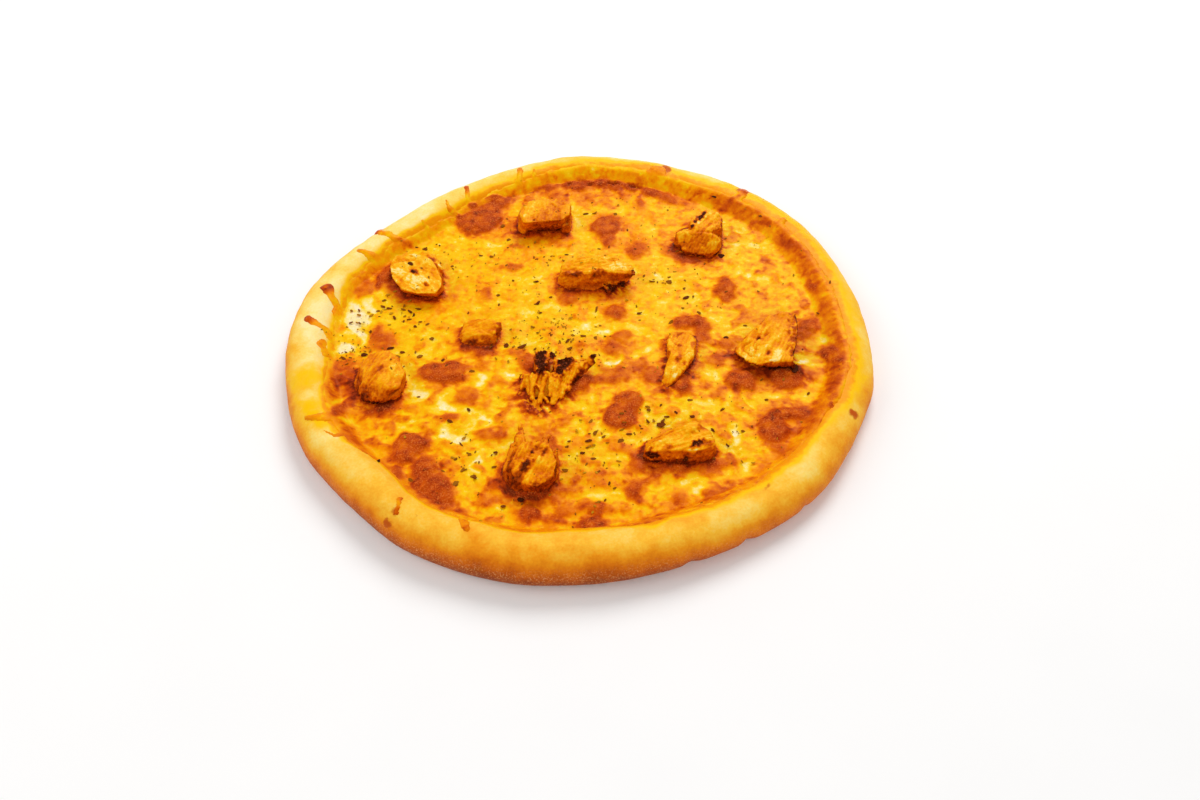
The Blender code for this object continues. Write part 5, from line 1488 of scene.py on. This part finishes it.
# %% Where the herbs lie
# Clusters: centre, spread, number and the largest length.
HERB_CLUSTERS = [
    (-98, 16, 8, 22, 3.4), (-117, 2, 7, 14, 2.2), (-113, -13, 4.5, 26, 2.4), (-76, -10, 13, 12, 2.6),
    (-14, 3, 11, 48, 2.2), (-31, -11, 5, 10, 3.0), (-5, -8, 11, 26, 2.4), (8, -77, 12, 26, 2.8),
    (32, -67, 8, 14, 3.0), (-55, -84, 8, 22, 3.0), (44, 34, 14, 18, 2.6), (-38, 60, 22, 44, 2.2),
    (-84, 62, 13, 14, 2.4), (80, -52, 18, 24, 2.4), (58, 22, 5, 6, 3.0), (74, -76, 9, 8, 2.2),
    (4, 62, 26, 34, 2.2), (30, 92, 14, 10, 2.0), (114, 62, 18, 16, 2.2), (0, 0, 62, 120, 2.0),
    (-40, -112, 14, 8, 2.0), (8, -103, 12, 8, 2.2),
]
# Single leaves: place, length, width, turn, and tone from 0, black, to 1, olive.
LEAVES = [
    (-102, 25, 3.0, 1.6, 20, 0.3), (-102, 20.5, 3.2, 1.4, -30, 0.2), (-98.5, 18.8, 3.4, 1.4, 10, 0.2),
    (-91, 18, 3.0, 1.2, -20, 0.4), (-87, 16, 3.6, 1.4, -40, 0.1), (-85, 13, 3.8, 1.5, 80, 0.1),
    (-87, 10.5, 3.2, 1.4, 20, 0.2), (-83, 18, 3.4, 1.3, 15, 0.2), (-95, 12, 3.4, 1.6, -60, 0.15),
    (-117, 9, 2.6, 1.4, 20, 0.2), (-118, 18, 2.2, 1.2, -50, 0.5), (-114, 18, 2.2, 1.2, -60, 0.3),
    (-83, 5, 3.0, 1.8, 30, 0.15), (-81, 8, 2.4, 1.0, 0, 0.3), (-106, 2, 2.0, 1.6, 60, 0.1),
    (-94, -10, 4.2, 2.0, 30, 0.05), (-88, -13, 3.0, 1.6, 0, 0.2), (-90, -16, 2.6, 2.2, 0, 0.6),
    (-79, -16, 3.2, 2.4, 40, 0.5), (-107, -14, 3.2, 2.4, 0, 0.05), (-117, -16.5, 3.6, 1.6, -30, 0.2),
    (-74, -4, 2.8, 2.0, 0, 0.4), (-67, -19, 2.6, 1.8, 70, 0.1), (-52, -27, 3.2, 1.6, 0, 0.4),
    (-77, -43, 2.6, 1.2, 10, 0.3), (-52, -52, 3.0, 1.4, -60, 0.1), (-60, -59, 3.2, 2.4, 0, 0.15),
    (-54, -73, 3.2, 1.0, -50, 0.2), (-55, -95, 3.6, 2.6, 60, 0.5), (-52, -88, 4.4, 0.9, 20, 0.4),
    (-38, -78, 2.2, 1.6, 0, 0.1), (-38, -86.5, 2.6, 1.2, 0, 0.3), (-33, -108, 2.4, 1.8, 0, 0.2),
    (-36, -10, 3.6, 2.6, 30, 0.15), (-28, -11, 5.0, 2.0, 20, 0.15), (-22, 37, 3.6, 2.2, 0, 0.1),
    (-21, 20, 3.6, 2.0, 20, 0.1), (-42, 27, 2.6, 1.8, 0, 0.3), (10, 15, 4.0, 1.2, 80, 0.3),
    (32, 11, 2.8, 1.8, 0, 0.15), (48, 4, 3.0, 2.0, 30, 0.5), (14, -5, 1.6, 0.8, 0, 0.1),
    (3, -5, 3.0, 1.8, 0, 0.25), (9, -6, 2.4, 1.4, 30, 0.4), (-5, -8, 3.0, 1.6, 50, 0.2),
    (-4, -13, 3.0, 2.4, 0, 0.3), (40, 35, 3.2, 1.8, 0, 0.4), (49, 34, 3.6, 2.8, 0, 0.4),
    (5, -73, 3.8, 1.8, 10, 0.1), (8, -68, 3.0, 2.0, 60, 0.4), (20, -73, 3.6, 2.4, 20, 0.35),
    (24, -69, 3.0, 1.6, 0, 0.2), (2, -79.5, 2.6, 1.4, 0, 0.1), (-5, -76, 2.4, 1.4, 0, 0.4),
    (-5, -89.5, 5.0, 2.0, 10, 0.5), (7, -83, 3.0, 2.0, 0, 0.3), (39, -64, 5.0, 3.4, -10, 0.15),
    (42, -59, 3.0, 1.2, 0, 0.2), (14, -97, 2.6, 1.2, 80, 0.1), (12, -106, 1.8, 1.0, 60, 0.2),
    (9, -107.5, 2.8, 1.6, 0, 0.6), (57, 22, 3.8, 2.4, 30, 0.1), (61, 23, 2.6, 1.0, 70, 0.2),
    (54, -60, 2.8, 1.8, 0, 0.1), (63, -68, 3.0, 1.4, -60, 0.1), (69, -77, 2.6, 1.4, -60, 0.1),
    (77, -69, 2.4, 1.6, 0, 0.4), (69, -55, 3.6, 1.2, 35, 0.2), (54, -49, 3.0, 1.8, 0, 0.4),
    (90, -50, 2.6, 1.4, 0, 0.3), (124, 7, 3.0, 2.4, 0, 0.2), (132, 24, 3.0, 1.4, 70, 0.3),
    (137, 5, 2.6, 1.2, 60, 0.2), (112, 88, 2.6, 2.0, 0, 0.15), (103, 81, 2.4, 1.8, 0, 0.2),
    (-53, 59, 2.4, 1.4, 0, 0.2), (-47, 58, 2.6, 1.8, 0, 0.4), (-42, 84, 3.0, 2.6, 40, 0.4),
    (-38, 72, 3.2, 2.2, 60, 0.4), (-6, 58, 2.4, 1.4, 0, 0.1), (5, 93, 3.4, 1.6, 20, 0.2),
    (10, 93, 3.0, 2.0, 0, 0.6), (22, 92, 2.6, 2.2, 0, 0.5), (-84, 65, 3.0, 1.8, 0, 0.2),
    (-89, 67, 2.0, 1.2, 0, 0.1), (79, 54, 4.4, 3.4, 0, 0.0), (79, 100, 3.6, 2.6, 0, 0.0),
    (81, 107, 2.8, 2.2, 0, 0.0), (75, -8, 3.2, 2.4, 0, 0.05), (-91, -84, 3.2, 2.2, 40, 0.0),
    (-75, -93, 3.2, 2.0, -50, 0.4), (-25, -104.5, 4.6, 3.2, 60, 0.0), (106, -33, 5.0, 4.0, 60, 0.0),
    (-89, 45, 3.4, 2.2, -30, 0.05),
]

# %% Make the flakes
# All of these are in millimetres or counts, but the ray starts 0.06 metres up.
FLAKE_SIDES = 7
LEAF_WIDTH = 0.9
CLUSTER_DENSITY = 1.6
SMALLEST_LENGTH = 0.45
SMALLEST_WIDTH = 0.3
CLEAR_OF_RIM = 17
RAY_FROM = 0.06
FLAKE_LIFT = 0.14


def herb_rows():
    """Place, length, width, turn and tone of every flake; seeded, so always the same."""
    draw = np.random.default_rng(23)
    rows = [(x, y, length, LEAF_WIDTH * width, radians(turn), tone)
            for x, y, length, width, turn, tone in LEAVES]
    for cx, cy, spread, count, longest in HERB_CLUSTERS:
        for _ in range(int(CLUSTER_DENSITY * count)):
            x, y = draw.normal(cx, spread), draw.normal(cy, spread)
            length = longest * draw.uniform(0.25, 1.0) ** 1.8
            width = length * draw.uniform(0.3, 0.6)
            tone = draw.uniform(0.1, 1.0)
            _, inset = round_place(np.array([x]), np.array([y]))
            if inset[0] > CLEAR_OF_RIM:
                length, width = max(length, SMALLEST_LENGTH), max(width, SMALLEST_WIDTH)
                rows.append((x, y, length, width, draw.uniform(0, pi), tone))
    return rows


def ground_height(places):
    """The height of the cheese or chicken under each place, by looking straight down."""
    carriers = [piece for piece in bpy.context.scene.objects
                if piece.name.startswith(("cheese_layer", "roast_chicken"))]
    heights = []
    for x, y in places:
        best = CHEESE_LEVEL
        for piece in carriers:
            hit, at, _, _ = piece.ray_cast(Vector((x * MM, y * MM, RAY_FROM)), Vector((0, 0, -1)))
            if hit:
                best = max(best, at.z / MM)
        heights.append(best)
    return np.array(heights)


def flake_corners(length, width, thick, draw):
    """One bent flake: a ring of uneven corners above and below, and two middles."""
    turns = np.arange(FLAKE_SIDES) * 2 * pi / FLAKE_SIDES + draw.uniform(0, 0.6)
    reach = draw.uniform(0.75, 1.15, FLAKE_SIDES)
    x = length / 2 * np.cos(turns) * reach
    y = width / 2 * np.sin(turns) * reach
    curl = draw.uniform(-0.3, 0.55) * length * (2 * x / length) ** 2 * 0.35
    curl = curl + draw.uniform(-0.12, 0.12, FLAKE_SIDES) * width
    upper = np.stack([x, y, curl + thick / 2], 1)
    lower = np.stack([x, y, curl - thick / 2], 1)
    return np.concatenate([upper, lower, [(0, 0, thick / 2)], [(0, 0, -thick / 2)]])


def flake_triangles():
    """The faces that every flake shares: a fan above, a fan below and a band between."""
    a = np.arange(FLAKE_SIDES)
    b = (a + 1) % FLAKE_SIDES
    top = np.full(FLAKE_SIDES, 2 * FLAKE_SIDES)
    bottom = top + 1
    low_a, low_b = a + FLAKE_SIDES, b + FLAKE_SIDES
    return np.concatenate([np.stack([a, b, top], 1), np.stack([low_b, low_a, bottom], 1),
                           np.stack([a, low_a, low_b], 1), np.stack([a, low_b, b], 1)])


# %% Dried herbs
HERB_COLOURS = [
    (0.0, rgb(66, 22, 4)), (0.15, rgb(118, 52, 6)), (0.55, rgb(158, 96, 8)), (1.0, rgb(200, 146, 16)),
]


def make_herb_finish():
    herb = Finish("dried oregano", 0.8, Specular_IOR_Level=0.1)
    colour = herb.ramp(herb.stir(herb.mask("tone"), 0.6, 0.3), HERB_COLOURS)
    return herb.finish(colour, normal=herb.bump(herb.grain(0.4), 0.08))


def make_herbs():
    rows = herb_rows()
    draw = np.random.default_rng(29)
    ground = ground_height([(row[0], row[1]) for row in rows])
    corners, triangles, tones = [], [], []
    pattern = flake_triangles()
    for (x, y, length, width, turn, tone), lift in zip(rows, ground):
        flake = flake_corners(length, width, 0.16 + 0.06 * length, draw)
        tip, roll = draw.normal(0, 0.22, 2)
        spin = Matrix.Rotation(turn, 3, "Z") @ Matrix.Rotation(tip, 3, "Y") @ Matrix.Rotation(roll, 3, "X")
        flake = flake @ np.array(spin).T + (x, y, lift + FLAKE_LIFT)
        triangles.append(pattern + len(corners) * len(flake))
        corners.append(flake)
        tones.append(np.full(len(flake), tone))
    piece = piece_from("oregano_flakes", np.concatenate(corners), np.concatenate(triangles),
                       dict(tone=np.concatenate(tones)), make_herb_finish())
    piece.data.shade_flat()
    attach(piece, "root")
    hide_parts("melted_cheese")


make_herbs()

# %% [markdown]
# ## The table and the light
#
# The pizza is shown on a plain, nearly white surface. A large soft light stands
# behind it, a little to the right, so that the chicken throws short soft shadows
# towards the viewer, and the pale surroundings fill them in.

# %% Floor
FLOOR_HALF = 1.6


def make_floor():
    mesh = bpy.data.meshes.new("floor")
    corners = [(x * FLOOR_HALF, y * FLOOR_HALF, 0) for x, y in ((-1, -1), (1, -1), (1, 1), (-1, 1))]
    mesh.from_pydata(corners, [], [(0, 1, 2, 3)])
    finish = Finish("pale table", 0.8, Specular_IOR_Level=0.0)
    colour = finish.over(rgb(255, 254, 253), rgb(252, 251, 250), finish.grain(60))
    mesh.materials.append(finish.finish(colour))
    floor = bpy.data.objects.new("floor", mesh)
    bpy.context.scene.collection.objects.link(floor)


make_floor()

# %% Lights
# Each light: name, place and size in metres, strength in watts; all aim at the pizza.
LIGHTS = [
    ("window", (0.35, 0.95, 1.15), 0.8, 13.0),
    ("left fill", (-1.1, -0.1, 0.9), 1.0, 4.2),
    ("front fill", (0.2, -1.2, 0.9), 1.2, 4.0),
]
SKY_STRENGTH = 0.46


def make_lights():
    for name, place, size, watts in LIGHTS:
        data = bpy.data.lights.new(name, "AREA")
        data.shape = "DISK"
        data.size = size
        data.energy = watts
        light = bpy.data.objects.new(name, data)
        light.location = place
        light.rotation_euler = (-Vector(place)).to_track_quat("-Z", "Y").to_euler()
        bpy.context.scene.collection.objects.link(light)
    world = bpy.data.worlds.new("pale room")
    world.use_nodes = True
    sky = world.node_tree.nodes["Background"]
    sky.inputs["Color"].default_value = (1.0, 1.0, 1.0, 1.0)
    sky.inputs["Strength"].default_value = SKY_STRENGTH
    bpy.context.scene.world = world
    bpy.context.scene.view_settings.view_transform = "Standard"
    bpy.context.scene.view_settings.look = "None"


make_lights()
print("lights:", len(LIGHTS))
